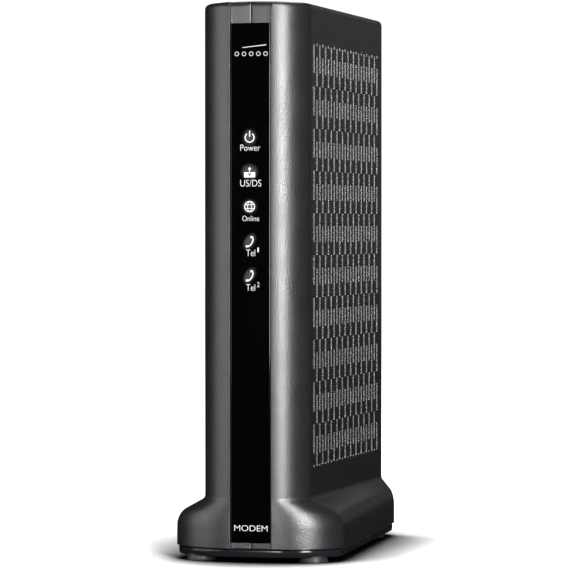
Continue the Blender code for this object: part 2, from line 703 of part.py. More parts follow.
def make_coax():
    """The threaded cable socket with its nut, and the shielded tuner can that carries it."""
    nickel = material("nickel", (0.78, 0.76, 0.7), 0.22, 1.0)
    thread_start = PANEL_FACE + 3.0
    thread = []
    turns = 5
    pitch = (COAX_END - 0.6 - thread_start) / turns
    for i in range(turns):
        y = thread_start + i * pitch
        thread += [(COAX_RADIUS - 0.35, y), (COAX_RADIUS, y + pitch * 0.4), (COAX_RADIUS, y + pitch * 0.6)]
    inside = PANEL_FACE - 12.0
    profile = [(2.4, inside), (6.0, inside), (6.0, inside + 4), (COAX_RADIUS, inside + 4),
               (COAX_RADIUS, thread_start - 0.5)] + thread + [
        (COAX_RADIUS - 0.3, COAX_END - 0.3), (COAX_RADIUS - 0.6, COAX_END), (3.5, COAX_END),
        (3.5, COAX_END - 7.5), (2.4, COAX_END - 7.5)]
    rings = [circle(radius, y, (0, 0, COAX_Z), "Y", 16) for radius, y in profile]
    bm = bmesh.new()
    add_loft(bm, rings + rings[:1], closed_ends=False)
    bmesh.ops.remove_doubles(bm, verts=bm.verts, dist=1e-4)
    finish("coax_connector", bm, nickel, (0, inside, COAX_Z), smooth=True)
    plug = bmesh_loft([circle(radius, y, (0, 0, COAX_Z), "Y", 16) for radius, y in (
        (2.1, inside + 1), (2.1, COAX_END - 7.2), (3.2, COAX_END - 7.2), (3.2, COAX_END - 1.2),
        (1.2, COAX_END - 1.0), (0.6, COAX_END - 1.6), (0.6, COAX_END - 6.0))])
    finish("coax_insulator", plug, material("insulator_white", (0.82, 0.82, 0.78), 0.5), smooth=True)
    nut = bmesh.new()
    nut_start = PANEL_FACE + GAP
    add_loft(nut, [circle(6.3, y, (0, 0, COAX_Z), "Y", 6) for y in (nut_start, nut_start + 2.2)])
    nut = finish("coax_nut", nut, nickel)
    bore = turned([(COAX_RADIUS + GAP, PANEL_FACE - 1), (COAX_RADIUS + GAP, PANEL_FACE + 5)],
                  (0, 0, COAX_Z), "Y", 20)
    boolean(nut, helper("cut_coax_nut", bore))
    shield = material("tin_shield", (0.66, 0.66, 0.64), 0.35, 1.0)
    finish("tuner_shield", chamfered_box((ON_BOARD, inside - 32.0, COAX_Z - 15),
                                         (5.6, inside - GAP, COAX_Z + 11), 0.5), shield)


def make_reset():
    """The recessed reset button, its origin on the line it slides along, and the switch behind it."""
    end = PANEL_FACE - BUTTON_RECESS
    back_of_flange = BACK - WALL - GAP - 1.2
    profile = [(BUTTON_RADIUS - 0.3, end), (BUTTON_RADIUS, end - 0.3), (BUTTON_RADIUS, back_of_flange - GAP),
               (BUTTON_RADIUS + 0.9, back_of_flange - GAP), (BUTTON_RADIUS + 0.9, back_of_flange - 1.3),
               (0.9, back_of_flange - 1.3), (0.9, back_of_flange - 6.5)]
    finish("reset_button", turned(profile, (0, 0, RESET_Z), "Y", 14),
           material("button_red", (0.35, 0.03, 0.03), 0.45), (0, end, RESET_Z), smooth=True)
    switch_face = back_of_flange - 5.8
    switch = finish("reset_switch", chamfered_box((ON_BOARD, switch_face - 4.0, RESET_Z - 3.2),
                                                  (3.4, switch_face, RESET_Z + 3.2), 0.25), chip_black())
    socket = turned([(0.9 + GAP, switch_face - 2.0), (0.9 + GAP, switch_face + 1)], (0, 0, RESET_Z), "Y", 12)
    boolean(switch, helper("cut_reset_switch", socket))


def make_label():
    finish("blank_label", chamfered_box((-13.0, -22.0, PLATE_BOTTOM - GAP - 0.25),
                                        (13.0, 22.0, PLATE_BOTTOM - GAP), 0.05),
           material("label_silver", (0.55, 0.55, 0.55), 0.5))


clear_scene()
make_case()
make_base()
make_feet_and_base_screws()
make_front()
make_board()
make_heat_sink(make_chips())
make_power_parts()
make_rear_panel()
make_ports()
make_label()
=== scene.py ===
"""Looks of the cable modem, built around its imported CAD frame.

Lengths are millimetres in the frame of the CAD model and turn into metres when a mesh is made:
the front faces -Y, +Z is up, and the case halves meet in the plane X = 0.
"""

from math import cos, hypot, pi, radians, sin, sqrt, tan

import bmesh
import bpy
from mathutils import Matrix, Vector


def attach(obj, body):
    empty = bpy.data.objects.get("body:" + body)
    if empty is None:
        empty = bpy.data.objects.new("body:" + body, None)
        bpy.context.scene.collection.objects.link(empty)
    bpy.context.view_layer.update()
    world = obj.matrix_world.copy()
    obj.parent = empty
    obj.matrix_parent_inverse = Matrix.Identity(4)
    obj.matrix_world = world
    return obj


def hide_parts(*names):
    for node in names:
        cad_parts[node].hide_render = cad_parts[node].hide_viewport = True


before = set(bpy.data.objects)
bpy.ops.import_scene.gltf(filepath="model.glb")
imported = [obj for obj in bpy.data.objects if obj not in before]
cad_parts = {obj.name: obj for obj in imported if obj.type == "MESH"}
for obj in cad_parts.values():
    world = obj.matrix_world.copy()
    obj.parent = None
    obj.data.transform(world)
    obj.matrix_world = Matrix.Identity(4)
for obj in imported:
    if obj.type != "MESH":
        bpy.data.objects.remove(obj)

MM = 0.001
SCALE = Matrix.Diagonal((MM, MM, MM, 1.0))
CREASE = radians(32)  # edges this sharp stay sharp in the shading
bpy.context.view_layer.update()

# Case
HEIGHT = 216.0
FRONT, BACK = -73.0, 65.0
WALL = 2.2
HALF_SEAM = 0.15
CHANNEL_HALF = 8.1
WINDOW_HALF = 5.4  # the channel's floor is whole outside this
CHANNEL_FLOOR = FRONT + 1.65
CHANNEL_BACK = CHANNEL_FLOOR + 2.0
REAR_RADIUS = 5.0
HALF_BODY = 21.2
HALF_FOOT_FRONT, HALF_FOOT_REAR = 33.5, 26.7
# Front corners: how far back they reach, the front's lean beside the channel, and two curve handles
BODY_CORNER = (12.0, radians(12.5), 7.4, 4.2)
FOOT_CORNER = (15.0, radians(1.5), 17.0, 2.8)
CORNER_STEPS, REAR_STEPS, ROOF_STEPS = 18, 8, 8
CASE_BOTTOM = 5.3
TOP_RADIUS = 2.2
CROWN = 0.55  # how far each half of the roof falls from the seam to the side
SHOULDER_Z, SHOULDER_RADIUS = 12.8, 8.0
SLOPE = radians(28)
HOLLOW_RADIUS = 2.0
SHOULDER_STEPS, SLOPE_STEPS, HOLLOW_STEPS = 12, 4, 7
PLAIN_LEVELS = {30.0, 207.0}  # rings under the field of vents and over it
EDGE = 0.36  # rounding of the seam's edges
EDGE_MIDDLE = EDGE * 0.29  # from each face to the middle point of a rounded edge
LIP, LIP_FADE = 0.45, 0.85  # rounding of the channel's front edges, and the share lost round the roof
MOST_DROP, DROP_START, DROP_SHARE = 1.76, 5.6, 0.3  # how much lower the cavity's rings stand in the foot

# Vents
FIRST_Y, PITCH_Y, PITCH_Z = -57.0, 4.72, 16.35
COLUMNS = [FIRST_Y + PITCH_Y * i for i in range(24)]
ROWS = 10
VENT_TOP, STAGGER = 200.4, 4.95
SLOT_HALF, SLOT_LENGTH = 0.9, 12.0
TOP_SLIVER, LOW_SLIVER = 1.1, 0.6  # heights of the cropped slots that end the columns
SLOT_CORNER, LEAST_ROUNDED = 0.5, 2.0  # corner radius, for slots taller than the second number
SLOT_RIM, RIM_ANGLE = 0.2, radians(50)  # rounding round each slot, where the edge is sharper than this
SLOT_DRAFT = (0.22, 0.29)  # each slot's rear wall leans: back at the outer face, forward at the inner one

# Front lens and lights
LENS_FRONT = FRONT + 0.35
LENS_HALF, LENS_THICK = 7.77, 1.0
LENS_Z = (7.65, 207.45)
LIGHTS = {"power": 163.5, "data": 150.4, "online": 137.0, "line_1": 123.6, "line_2": 110.5}
PRINT_X = -0.33  # the middle of the symbols
WINDOW_REACH = 2.9  # the case is open at least this far above and below each light

# Rear
PANEL_FACE = 64.2
PANEL_HALF = 15.0
PANEL_Z = (36.0, 186.0)
JACK_FACE = PANEL_FACE - 0.2
PHONE_Z = (173.0, 156.0)
NETWORK_Z = (134.0, 114.5)
PHONE_HALF, NETWORK_HALF = (6.8, 6.9), (7.0, 8.3)  # half sizes of the openings
LAMP_UP, SPRING_UP = 6.0, 6.95  # from a network jack's middle
RESET_Z, COAX_Z, POWER_Z = 97.5, 78.0, 50.0
COAX_END = 73.0
CONTACT_PITCH = 1.02
PRINT_FAR, PRINT_NEAR = -10.8, -8.4  # X of the printed symbols beside the ports

# Base
PLATE_BOTTOM, PLATE_TOP, PLATE_RIM = 2.0, 5.0, 8.0
FOOT_PADS = {"front": (22.5, -62.5), "rear": (18.5, 52.0)}
BASE_SCREWS = {"front": (22.6, -30.0), "rear": (21.0, 22.0)}


# ---- materials

class Nodes:
    """A material's node tree with short ways to add and join nodes."""

    def __init__(self, name):
        self.material = bpy.data.materials.new(name)
        self.material.use_nodes = True
        self.tree = self.material.node_tree
        self.shader = self.tree.nodes["Principled BSDF"]
        self.place = self.add("ShaderNodeTexCoord").outputs["Object"]

    def add(self, kind, inputs=(), **settings):
        made = self.tree.nodes.new(kind)
        for key, value in settings.items():
            setattr(made, key, value)
        for key, value in dict(inputs).items():
            self.feed(made.inputs[key], value)
        return made

    def feed(self, socket, value):
        if isinstance(value, bpy.types.NodeSocket):
            self.tree.links.new(value, socket)
        else:
            socket.default_value = value

    def noise(self, size, detail=2.0, roughness=0.55, stretch=(1, 1, 1)):
        """Noise whose features are about size millimetres across."""
        place = self.place
        if stretch != (1, 1, 1):
            place = self.add("ShaderNodeMapping", {"Vector": place, "Scale": stretch}).outputs["Vector"]
        return self.add("ShaderNodeTexNoise", {"Vector": place, "Scale": 1 / (size * MM),
                                               "Detail": detail, "Roughness": roughness}).outputs["Fac"]

    def ranged(self, value, low, high, start=0.3, end=0.7, smooth=False):
        """A value's span from start to end, stretched from low to high."""
        return self.add("ShaderNodeMapRange", {
            "Value": value, "From Min": start, "From Max": end, "To Min": low, "To Max": high},
            interpolation_type="SMOOTHSTEP" if smooth else "LINEAR").outputs["Result"]

    def maths(self, operation, a, b):
        return self.add("ShaderNodeMath", {0: a, 1: b}, operation=operation).outputs[0]

    def mixed(self, factor, a, b):
        return self.add("ShaderNodeMix", {0: factor, 6: a, 7: b}, data_type="RGBA").outputs[2]

    def bump(self, height, depth):
        """Raises the surface by up to depth millimetres."""
        made = self.add("ShaderNodeBump", {"Height": height, "Distance": depth * MM, "Strength": 1.0})
        self.set(Normal=made.outputs["Normal"])

    def set(self, **inputs):
        for key, value in inputs.items():
            self.feed(self.shader.inputs[key.replace("_", " ")], value)


def grey(level, tint=(1.0, 1.0, 1.0)):
    return (*(level * share for share in tint), 1.0)


def textured_plastic():
    """Charcoal moulding with a spark-eroded grain, a satin sheen and faint tool mottling."""
    n = Nodes("charcoal_spark_grain")
    cool = (1, 1, 1.15)
    grain = n.noise(0.42, 1.0, 0.5)
    fine = n.noise(0.24, 1.0, 0.5)
    broad = n.noise(14.0)
    tone = n.mixed(n.ranged(grain, 0.0, 1.0), grey(0.003, cool), grey(0.0065, cool))
    n.set(Base_Color=n.mixed(n.ranged(broad, 0.0, 0.35), tone, grey(0.006, cool)),
          Roughness=n.maths("ADD", n.ranged(fine, 0.28, 0.36), n.ranged(broad, -0.02, 0.03)))
    n.bump(n.maths("ADD", n.maths("MULTIPLY", grain, 0.8), n.maths("MULTIPLY", fine, 0.2)), 0.075)
    return n.material


def lens_black():
    """The smoked front lens, with a soft painted glow round each status symbol where its lamp's light would
    spill.
    """
    n = Nodes("smoked_lens")
    haze = n.noise(9.0, 3.0)
    n.set(Base_Color=n.mixed(haze, grey(0.0001), grey(0.0003)), Roughness=n.ranged(haze, 0.02, 0.04))
    # painted glow: the lens emits light near each symbol, though it is no lamp
    glow = 0.0
    for name, z in LIGHTS.items():
        tilt, across, tall = GLOWS[name]
        local = n.add("ShaderNodeMapping", {
            "Vector": n.place, "Location": (PRINT_X * MM, LENS_FRONT * MM, z * MM),
            "Rotation": (0.0, tilt, 0.0), "Scale": (across * MM, 1.0, tall * MM)}, vector_type="TEXTURE")
        reach = n.add("ShaderNodeVectorMath", {0: local.outputs["Vector"]}, operation="LENGTH")
        near = n.ranged(reach.outputs["Value"], 1.0, 0.0, 0.35, 1.0, smooth=True)
        glow = near if isinstance(glow, float) else n.maths("MAXIMUM", glow, near)
    n.set(Emission_Strength=n.maths("MULTIPLY", glow, n.ranged(n.noise(0.9), 0.07, 0.1)),
          Emission_Color=(0.93, 0.96, 1.0, 1.0))
    n.bump(n.noise(25.0, 1.0), 0.006)
    return n.material


def lit_print(name, strength):
    """White print that glows, slightly uneven as a screened film is. On the status symbols the glow stands
    for their lamps behind; on the words and the emblem, which have no lamp of their own, it is painted glow.
    """
    n = Nodes(name)
    n.set(Base_Color=n.mixed(n.noise(0.5), grey(0.02), grey(0.03)),
          Roughness=n.ranged(n.noise(0.4), 0.35, 0.5))
    n.set(Emission_Color=(0.97, 0.985, 1.0, 1.0),
          Emission_Strength=n.ranged(n.noise(0.8), strength * 0.88, strength * 1.05))
    return n.material


def moulded(name, colour, roughness, size, depth, spread=0.25, wander=0.08, specular=0.5):
    """Any plain moulded, painted or rubber surface: grained, with its tone and gloss a little uneven."""
    n = Nodes(name)
    grain = n.noise(size, 3.0, 0.6)
    broad = n.noise(size * 18)
    darker = (*(c * (1 - spread) for c in colour), 1.0)
    lighter = (*(c * (1 + spread) for c in colour), 1.0)
    n.set(Base_Color=n.mixed(n.ranged(n.maths("ADD", grain, broad), 0.0, 1.0, 0.7, 1.3), darker, lighter),
          Roughness=n.ranged(grain, roughness - wander, roughness + wander), Specular_IOR_Level=specular)
    n.bump(grain, depth)
    return n.material


def metal(name, colour, roughness, size, stretch=(1, 1, 1)):
    """Plated or rolled metal, brushed along the axis with the smallest stretch."""
    n = Nodes(name)
    brushed = n.noise(size, 2.0, 0.6, stretch)
    cloud = n.noise(6.0, 3.0)
    dull = (*(c * (1 - TARNISH) for c in colour), 1.0)
    n.set(Base_Color=n.mixed(n.ranged(cloud, 0.0, 1.0), dull, (*colour, 1.0)), Metallic=1.0,
          Roughness=n.maths("ADD", n.ranged(brushed, roughness - 0.07, roughness + 0.07),
                            n.ranged(cloud, 0.03, -0.02)))
    n.bump(brushed, 0.004)
    return n.material


def circuit_board():
    """Green solder mask over copper tracks, with tinned pads."""
    n = Nodes("solder_mask")
    turn = n.add("ShaderNodeMapping", {"Vector": n.place, "Rotation": (0.0, radians(90), 0.0)})
    tracks = n.add("ShaderNodeTexBrick", {
        "Vector": turn.outputs["Vector"], "Scale": 1 / (6.0 * MM), "Mortar Size": 0.05,
        "Mortar Smooth": 0.2}).outputs["Fac"]
    cells = n.add("ShaderNodeTexVoronoi", {"Vector": n.place, "Scale": 1 / (3.4 * MM)}).outputs["Distance"]
    pad = n.maths("LESS_THAN", cells, 0.16)
    mask = n.mixed(n.ranged(n.noise(5.0), 0.0, 1.0), (0.008, 0.06, 0.022, 1), (0.014, 0.1, 0.036, 1))
    n.set(Base_Color=n.mixed(pad, n.mixed(tracks, mask, (0.03, 0.17, 0.06, 1)), (0.62, 0.6, 0.52, 1)),
          Metallic=n.maths("MULTIPLY", pad, 0.9), Roughness=n.ranged(n.noise(1.2), 0.28, 0.4))
    n.bump(n.maths("ADD", tracks, pad), 0.04)
    return n.material


TARNISH = 0.15  # how much darker metal gets where it has dulled

# Tilt and half sizes in millimetres of the painted glow round each symbol
GLOWS = {"power": (0.0, 3.3, 3.9), "data": (0.0, 4.0, 3.6), "online": (0.0, 3.5, 3.4),
         "line_1": (radians(32), 2.5, 4.1), "line_2": (radians(32), 2.5, 4.1)}

CASE = textured_plastic()
PLATE = moulded("polished_plate", (0.004, 0.004, 0.005), 0.15, 1.4, 0.004, 0.25, 0.03, 0.2)
LENS = lens_black()
RUBBER = moulded("foot_rubber", (0.012, 0.012, 0.0125), 0.45, 0.5, 0.006, specular=0.25)
PANEL = moulded("panel_fine_grain", (0.021, 0.021, 0.023), 0.5, 0.45, 0.02)
SYMBOL = lit_print("symbol_lit", 1.12)
# the words and the emblem glow with painted light: no lamp stands behind them
WORD = lit_print("word_painted_glow", 1.0)
REAR_PRINT = moulded("rear_print", (0.5, 0.5, 0.5), 0.55, 0.3, 0.004, 0.08)
NICKEL = metal("nickel_plate", (0.72, 0.69, 0.62), 0.22, 0.3, (1, 5, 1))
TIN = metal("tin_plate", (0.68, 0.68, 0.66), 0.3, 0.6, (1, 1, 4))
STEEL = metal("zinc_plated_steel", (0.62, 0.62, 0.6), 0.3, 0.3)
GOLD = metal("contact_gold", (0.9, 0.62, 0.24), 0.22, 0.2)
FINS = metal("extruded_aluminium", (0.62, 0.63, 0.65), 0.36, 0.35, (4, 4, 0.3))
BOARD = circuit_board()
CHIP = moulded("chip_resin", (0.022, 0.022, 0.023), 0.55, 0.25, 0.012)
PIPE = moulded("light_pipe_clear", (0.75, 0.78, 0.82), 0.2, 1.2, 0.01, 0.06, 0.05)
LED = moulded("led_phosphor", (0.85, 0.83, 0.6), 0.4, 0.3, 0.004, 0.08)
PAD = moulded("thermal_gel", (0.4, 0.47, 0.56), 0.75, 0.5, 0.02, 0.08)
SLEEVE = moulded("capacitor_film", (0.02, 0.026, 0.075), 0.35, 0.8, 0.006)
INSULATOR = moulded("insulator_white", (0.72, 0.71, 0.66), 0.45, 0.6, 0.008, 0.06)
JACK_BLACK = moulded("jack_resin", (0.02, 0.02, 0.021), 0.42, 0.4, 0.01)
RED = moulded("button_red", (0.33, 0.022, 0.02), 0.42, 0.4, 0.01, 0.15)
LABEL = moulded("label_film", (0.5, 0.5, 0.5), 0.42, 0.5, 0.003, 0.05)
GREEN_LAMP = moulded("lamp_green", (0.06, 0.3, 0.08), 0.2, 0.5, 0.006, 0.2)
AMBER_LAMP = moulded("lamp_amber", (0.45, 0.2, 0.02), 0.2, 0.5, 0.006, 0.2)


# ---- mesh helpers

def placed(name, data):
    """A new object in the scene."""
    made = bpy.data.objects.new(name, data)
    bpy.context.scene.collection.objects.link(made)
    return made


def as_mesh(name, bm):
    """Turns a bmesh into a mesh and frees it."""
    mesh = bpy.data.meshes.new(name)
    bm.to_mesh(mesh)
    bm.free()
    return mesh


def outward(bm):
    """Turns the faces of every closed shell outwards."""
    bmesh.ops.recalc_face_normals(bm, faces=bm.faces)
    waiting = set(bm.faces)
    while waiting:
        shell, ahead = [], [waiting.pop()]
        while ahead:
            face = ahead.pop()
            shell.append(face)
            for edge in face.edges:
                for other in edge.link_faces:
                    if other in waiting:
                        waiting.remove(other)
                        ahead.append(other)
        if sum(f.calc_center_median().dot(f.normal) * f.calc_area() for f in shell) < 0:
            bmesh.ops.reverse_faces(bm, faces=shell)


def piece(name, bm, look, replaces=(), body="root", flat=False, weighted=True):
    """Turns a bmesh in millimetres into a finished piece that rides on a body."""
    outward(bm)
    mesh = as_mesh(name, bm)
    mesh.transform(SCALE)
    mesh.materials.append(look)
    made = placed(name, mesh)
    if not flat:
        mesh.shade_smooth()
        mesh.set_sharp_from_angle(angle=CREASE)
        if weighted:
            made.modifiers.new("even_normals", "WEIGHTED_NORMAL").keep_sharp = True
    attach(made, body)
    if replaces:
        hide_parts(*replaces)


def box(bm, low, high):
    corners = [bm.verts.new((x, y, z)) for x in (low[0], high[0]) for y in (low[1], high[1])
               for z in (low[2], high[2])]
    for side in ((0, 1, 3, 2), (4, 6, 7, 5), (0, 4, 5, 1), (2, 3, 7, 6), (0, 2, 6, 4), (1, 5, 7, 3)):
        bm.faces.new([corners[i] for i in side])


def bevel(bm, edges, offset, segments, **settings):
    bmesh.ops.bevel(bm, geom=edges, offset=offset, segments=segments, profile=0.5, affect="EDGES", **settings)


def soft_box(low, high, edge, segments=2):
    """A box with rounded edges, as its own bmesh."""
    bm = bmesh.new()
    box(bm, low, high)
    bevel(bm, list(bm.edges), edge, segments)
    return bm


def join(target, other):
    """Adds a bmesh to another one and frees it."""
    mesh = as_mesh("joining", other)
    target.from_mesh(mesh)
    bpy.data.meshes.remove(mesh)


def skin(bm, rings, looped=False):
    """Joins each ring of points to the next, and the last to the first if looped."""
    rows = [[bm.verts.new(point) for point in ring] for ring in rings]
    count = len(rows[0])
    for lower, upper in zip(rows, rows[1:] + (rows[:1] if looped else [])):
        for i in range(count):
            j = (i + 1) % count
            bm.faces.new((lower[i], lower[j], upper[j], upper[i]))
    return rows


def loft(bm, rings):
    """A solid through rings of points, with a face over each end."""
    rows = skin(bm, rings)
    bm.faces.new(rows[0])
    bm.faces.new(rows[-1])


def circle(radius, height, centre, axis, sides):
    """Points round an axis through the centre, at a height along it."""
    points = []
    for i in range(sides):
        angle = 2 * pi * i / sides
        u, v = radius * cos(angle), radius * sin(angle)
        offset = {"X": (height, u, v), "Y": (u, height, v), "Z": (u, v, height)}[axis]
        points.append([a + b for a, b in zip(centre, offset)])
    return points


def turned(bm, profile, centre, axis="Z", sides=48):
    """A closed turned solid from (radius, height) pairs."""
    loft(bm, [circle(radius, height, centre, axis, sides) for radius, height in profile])


def turned_ring(bm, profile, centre, axis, sides):
    """A turned ring: the profile closes on itself and stays off the axis."""
    skin(bm, [circle(radius, height, centre, axis, sides) for radius, height in profile], looped=True)


def carve(bm, cutter, operation="DIFFERENCE"):
    """Cuts, or joins, one bmesh with another and returns the result."""
    made = []
    for part in (bm, cutter):
        bmesh.ops.recalc_face_normals(part, faces=part.faces)
        made.append(placed("carving", as_mesh("carving", part)))
    cut = made[0].modifiers.new("cut", "BOOLEAN")
    cut.object, cut.operation, cut.solver, cut.use_self = made[1], operation, "EXACT", True
    result = bmesh.new()
    result.from_object(made[0], bpy.context.evaluated_depsgraph_get())
    for old in made:
        mesh = old.data
        bpy.data.objects.remove(old)
        bpy.data.meshes.remove(mesh)
    return result


def wire(bm, points, radius):
    """A round wire along a few points, with closed ends."""
    points = [Vector(p) for p in points]
    sides = 8
    rings = []
    for i, here in enumerate(points):
        ahead = (points[min(i + 1, len(points) - 1)] - points[max(i - 1, 0)]).normalized()
        side = ahead.cross(Vector((0, 0, 1))).normalized()
        up = side.cross(ahead)
        rings.append([here + radius * (cos(a) * side + sin(a) * up)
                      for a in (2 * pi * k / sides for k in range(sides))])
    loft(bm, rings)


def stroke(bm, points, widths, depths, closed=False):
    """A flat band along points (x, z) between two depths, of one width or a width at each point."""
    count = len(points)
    if not isinstance(widths, (list, tuple)):
        widths = [widths] * count
    rings = []
    for i, (x, z) in enumerate(points):
        before = points[(i - 1) % count] if closed else points[max(i - 1, 0)]
        after = points[(i + 1) % count] if closed else points[min(i + 1, count - 1)]
        dx, dz = after[0] - before[0], after[1] - before[1]
        length = hypot(dx, dz)
        nx, nz = -dz / length * widths[i] / 2, dx / length * widths[i] / 2
        rings.append([(x + nx, depths[0], z + nz), (x - nx, depths[0], z - nz),
                      (x - nx, depths[1], z - nz), (x + nx, depths[1], z + nz)])
    if closed:
        skin(bm, rings, looped=True)
    else:
        loft(bm, rings)


def tile(bm, outline, depths):
    """A flat solid from an outline of (x, z) points."""
    loft(bm, [[(x, y, z) for x, z in outline] for y in depths])


def arc(cx, cz, radius_x, radius_z, start, end, steps):
    """Points (x, z) round part of an ellipse, from one angle in degrees to another."""
    angles = [radians(start + (end - start) * i / steps) for i in range(steps + 1)]
    return [(cx + radius_x * cos(angle), cz + radius_z * sin(angle)) for angle in angles]


def smooth_path(points, steps=6):
    """More points on a smooth curve through the ones given."""
    found = []
    for i in range(len(points) - 1):
        p = [points[max(i - 1, 0)], points[i], points[i + 1], points[min(i + 2, len(points) - 1)]]
        for k in range(steps):
            t = k / steps
            found.append(tuple(0.5 * (2 * b + (c - a) * t + (2 * a - 5 * b + 4 * c - d) * t * t
                                      + (3 * b - a - 3 * c + d) * t ** 3) for a, b, c, d in zip(*p)))
    return found + [points[-1]]


def word(bm, text, centre_x, z_low, z_high, width, depths, weight, facing=-1):
    """Generic lettering fitted to a width and a height, as a thin solid."""
    curve = bpy.data.curves.new("word", "FONT")
    curve.body = text
    curve.offset = weight
    curve.resolution_u = 4
    holder = placed("word", curve)
    bpy.context.view_layer.update()
    mesh = bpy.data.meshes.new_from_object(holder)
    bpy.data.objects.remove(holder)
    bpy.data.curves.remove(curve)
    shape = bmesh.new()
    shape.from_mesh(mesh)
    bpy.data.meshes.remove(mesh)
    bmesh.ops.remove_doubles(shape, verts=shape.verts, dist=1e-5)
    xs, ys = [v.co.x for v in shape.verts], [v.co.y for v in shape.verts]
    wide, tall = max(xs) - min(xs), max(ys) - min(ys)
    for vert in shape.verts:
        x = (vert.co.x - min(xs)) / wide - 0.5
        z = (vert.co.y - min(ys)) / tall
        vert.co = (centre_x - facing * x * width, depths[0], z_low + z * (z_high - z_low))
    made = bmesh.ops.extrude_face_region(shape, geom=list(shape.faces))
    for item in made["geom"]:
        if isinstance(item, bmesh.types.BMVert):
            item.co.y = depths[1]
    join(bm, shape)


# ---- case halves

def lerp(a, b, t):
    return a + (b - a) * t


def rounding(before, after):
    """Offsets round a corner, from one side of it to the other, in four steps."""
    shares = [(i / 4, 1 - i / 4) for i in range(5)]
    return [tuple(b * b * p + a * a * q for p, q in zip(before, after)) for a, b in shares]


def case_plan(half_front, half_rear, corner):
    """The right half's plan from the front seam to the rear one: (corner, offsets of its points)."""
    depth, bow, reach, pull = corner
    plan = [((HALF_SEAM, CHANNEL_FLOOR), [(0, EDGE), (EDGE * 0.6, EDGE * 0.42), (EDGE * 1.6, 0)]),
            ((WINDOW_HALF, CHANNEL_FLOOR), [(0, 0)]),
            ((CHANNEL_HALF, CHANNEL_FLOOR), [(-EDGE, 0), (-EDGE_MIDDLE, -EDGE_MIDDLE), (0, -EDGE)]),
            ((CHANNEL_HALF, FRONT), rounding((0, LIP), (LIP * cos(bow), LIP * sin(bow))))]
    p = [(CHANNEL_HALF, FRONT), (CHANNEL_HALF + reach * cos(bow), FRONT + reach * sin(bow)),
         (half_front, FRONT + depth - pull), (half_front, FRONT + depth)]
    for i in range(1, CORNER_STEPS + 1):
        t = i / CORNER_STEPS
        share = ((1 - t) ** 3, 3 * t * (1 - t) ** 2, 3 * t * t * (1 - t), t ** 3)
        plan.append((tuple(sum(w * q[a] for w, q in zip(share, p)) for a in (0, 1)), [(0, 0)]))
    start, end = FRONT + depth, BACK - REAR_RADIUS
    for y in COLUMNS:
        for side in (-SLOT_HALF, SLOT_HALF):
            share = (y + side - start) / (end - start)
            plan.append(((lerp(half_front, half_rear, share), y + side), [(0, 0)]))
    for i in range(REAR_STEPS + 1):
        angle = pi / 2 * i / REAR_STEPS
        plan.append(((half_rear - REAR_RADIUS * (1 - cos(angle)),
                      BACK - REAR_RADIUS * (1 - sin(angle))), [(0, 0)]))
    plan.append(((PANEL_HALF, BACK), [(0, 0)]))
    plan.append(((HALF_SEAM, BACK), [(EDGE, 0), (EDGE_MIDDLE, -EDGE_MIDDLE), (0, -EDGE)]))
    return plan


BODY_PLAN = case_plan(HALF_BODY, HALF_BODY, BODY_CORNER)
FOOT_PLAN = case_plan(HALF_FOOT_FRONT, HALF_FOOT_REAR, FOOT_CORNER)
OFFSETS = [offsets for _, offsets in BODY_PLAN]
FRONT_CORNERS, LIP_CORNER = 4, 3  # plan corners before the curve, and the last of them
CAVITY_X = (HALF_SEAM, WINDOW_HALF, 7.2, 7.45)  # where the front corners stand in the cavity
WINDOW_POINT = 3  # the outline point at the edge of the light windows
FIRST_VENT = sum(len(o) for o in OFFSETS[:FRONT_CORNERS]) + CORNER_STEPS  # at the first vents' near edge
PAST_VENTS = FIRST_VENT + 2 * len(COLUMNS)
PANEL_POINT = PAST_VENTS + REAR_STEPS + 1


def corners(flare):
    """The plan's corners: the body's at flare 0, the foot's at flare 1."""
    return [(lerp(a[0][0], b[0][0], flare), lerp(a[0][1], b[0][1], flare))
            for a, b in zip(BODY_PLAN, FOOT_PLAN)]


def inset(points, distance):
    """Moves an open outline inwards. Its ends keep to the lines they stand on."""
    moved = []
    for i, here in enumerate(points):
        normals = []
        for a, b in ((points[max(i - 1, 0)], here), (here, points[min(i + 1, len(points) - 1)])):
            length = hypot(b[0] - a[0], b[1] - a[1])
            if length > 1e-9:
                normals.append(((a[1] - b[1]) / length, (b[0] - a[0]) / length))
        nx = sum(n[0] for n in normals) / len(normals)
        ny = sum(n[1] for n in normals) / len(normals)
        scale = distance / (nx * nx + ny * ny)
        moved.append((here[0] + nx * scale, here[1] + ny * scale))
    return moved


def outer_ring(flare, distance):
    """The case's outline. The body's vents are a little longer at their rear."""
    fade = 1 - LIP_FADE * distance / TOP_RADIUS
    found = []
    for k, ((x, y), offsets) in enumerate(zip(inset(corners(flare), distance), OFFSETS)):
        share = fade if k == LIP_CORNER else 1.0
        found += [(x + dx * share, y + dy * share) for dx, dy in offsets]
    if flare == 0.0:
        for i in range(FIRST_VENT + 1, PAST_VENTS, 2):
            found[i] = (found[i][0], found[i][1] + SLOT_DRAFT[0])
    return found


def inner_ring(flare, distance):
    """The cavity's outline, flat behind the channel."""
    moved = inset(corners(flare), WALL + distance)
    flat = CHANNEL_BACK + distance
    found = []
    for i, ((x, y), offsets) in enumerate(zip(moved, OFFSETS)):
        if i < FRONT_CORNERS:
            x, y = CAVITY_X[i], flat
        for dx, _ in offsets:
            found.append((x + dx, max(y, flat)))
    for i in range(FIRST_VENT + 1, PAST_VENTS, 2):
        found[i] = (found[i][0], found[i][1] - SLOT_DRAFT[1])
    return found


def slot_spans(column):
    """(low, high) of each vent in a column. The grid's ends crop one slot of every column to a sliver."""
    top = VENT_TOP - STAGGER * (column % 2)
    spans = [(top - row * PITCH_Z - SLOT_LENGTH, top - row * PITCH_Z) for row in range(ROWS)]
    lowest = VENT_TOP - STAGGER - (ROWS - 1) * PITCH_Z - SLOT_LENGTH
    spans.append((VENT_TOP - TOP_SLIVER, VENT_TOP) if column % 2 else (lowest, lowest + LOW_SLIVER))
    return spans


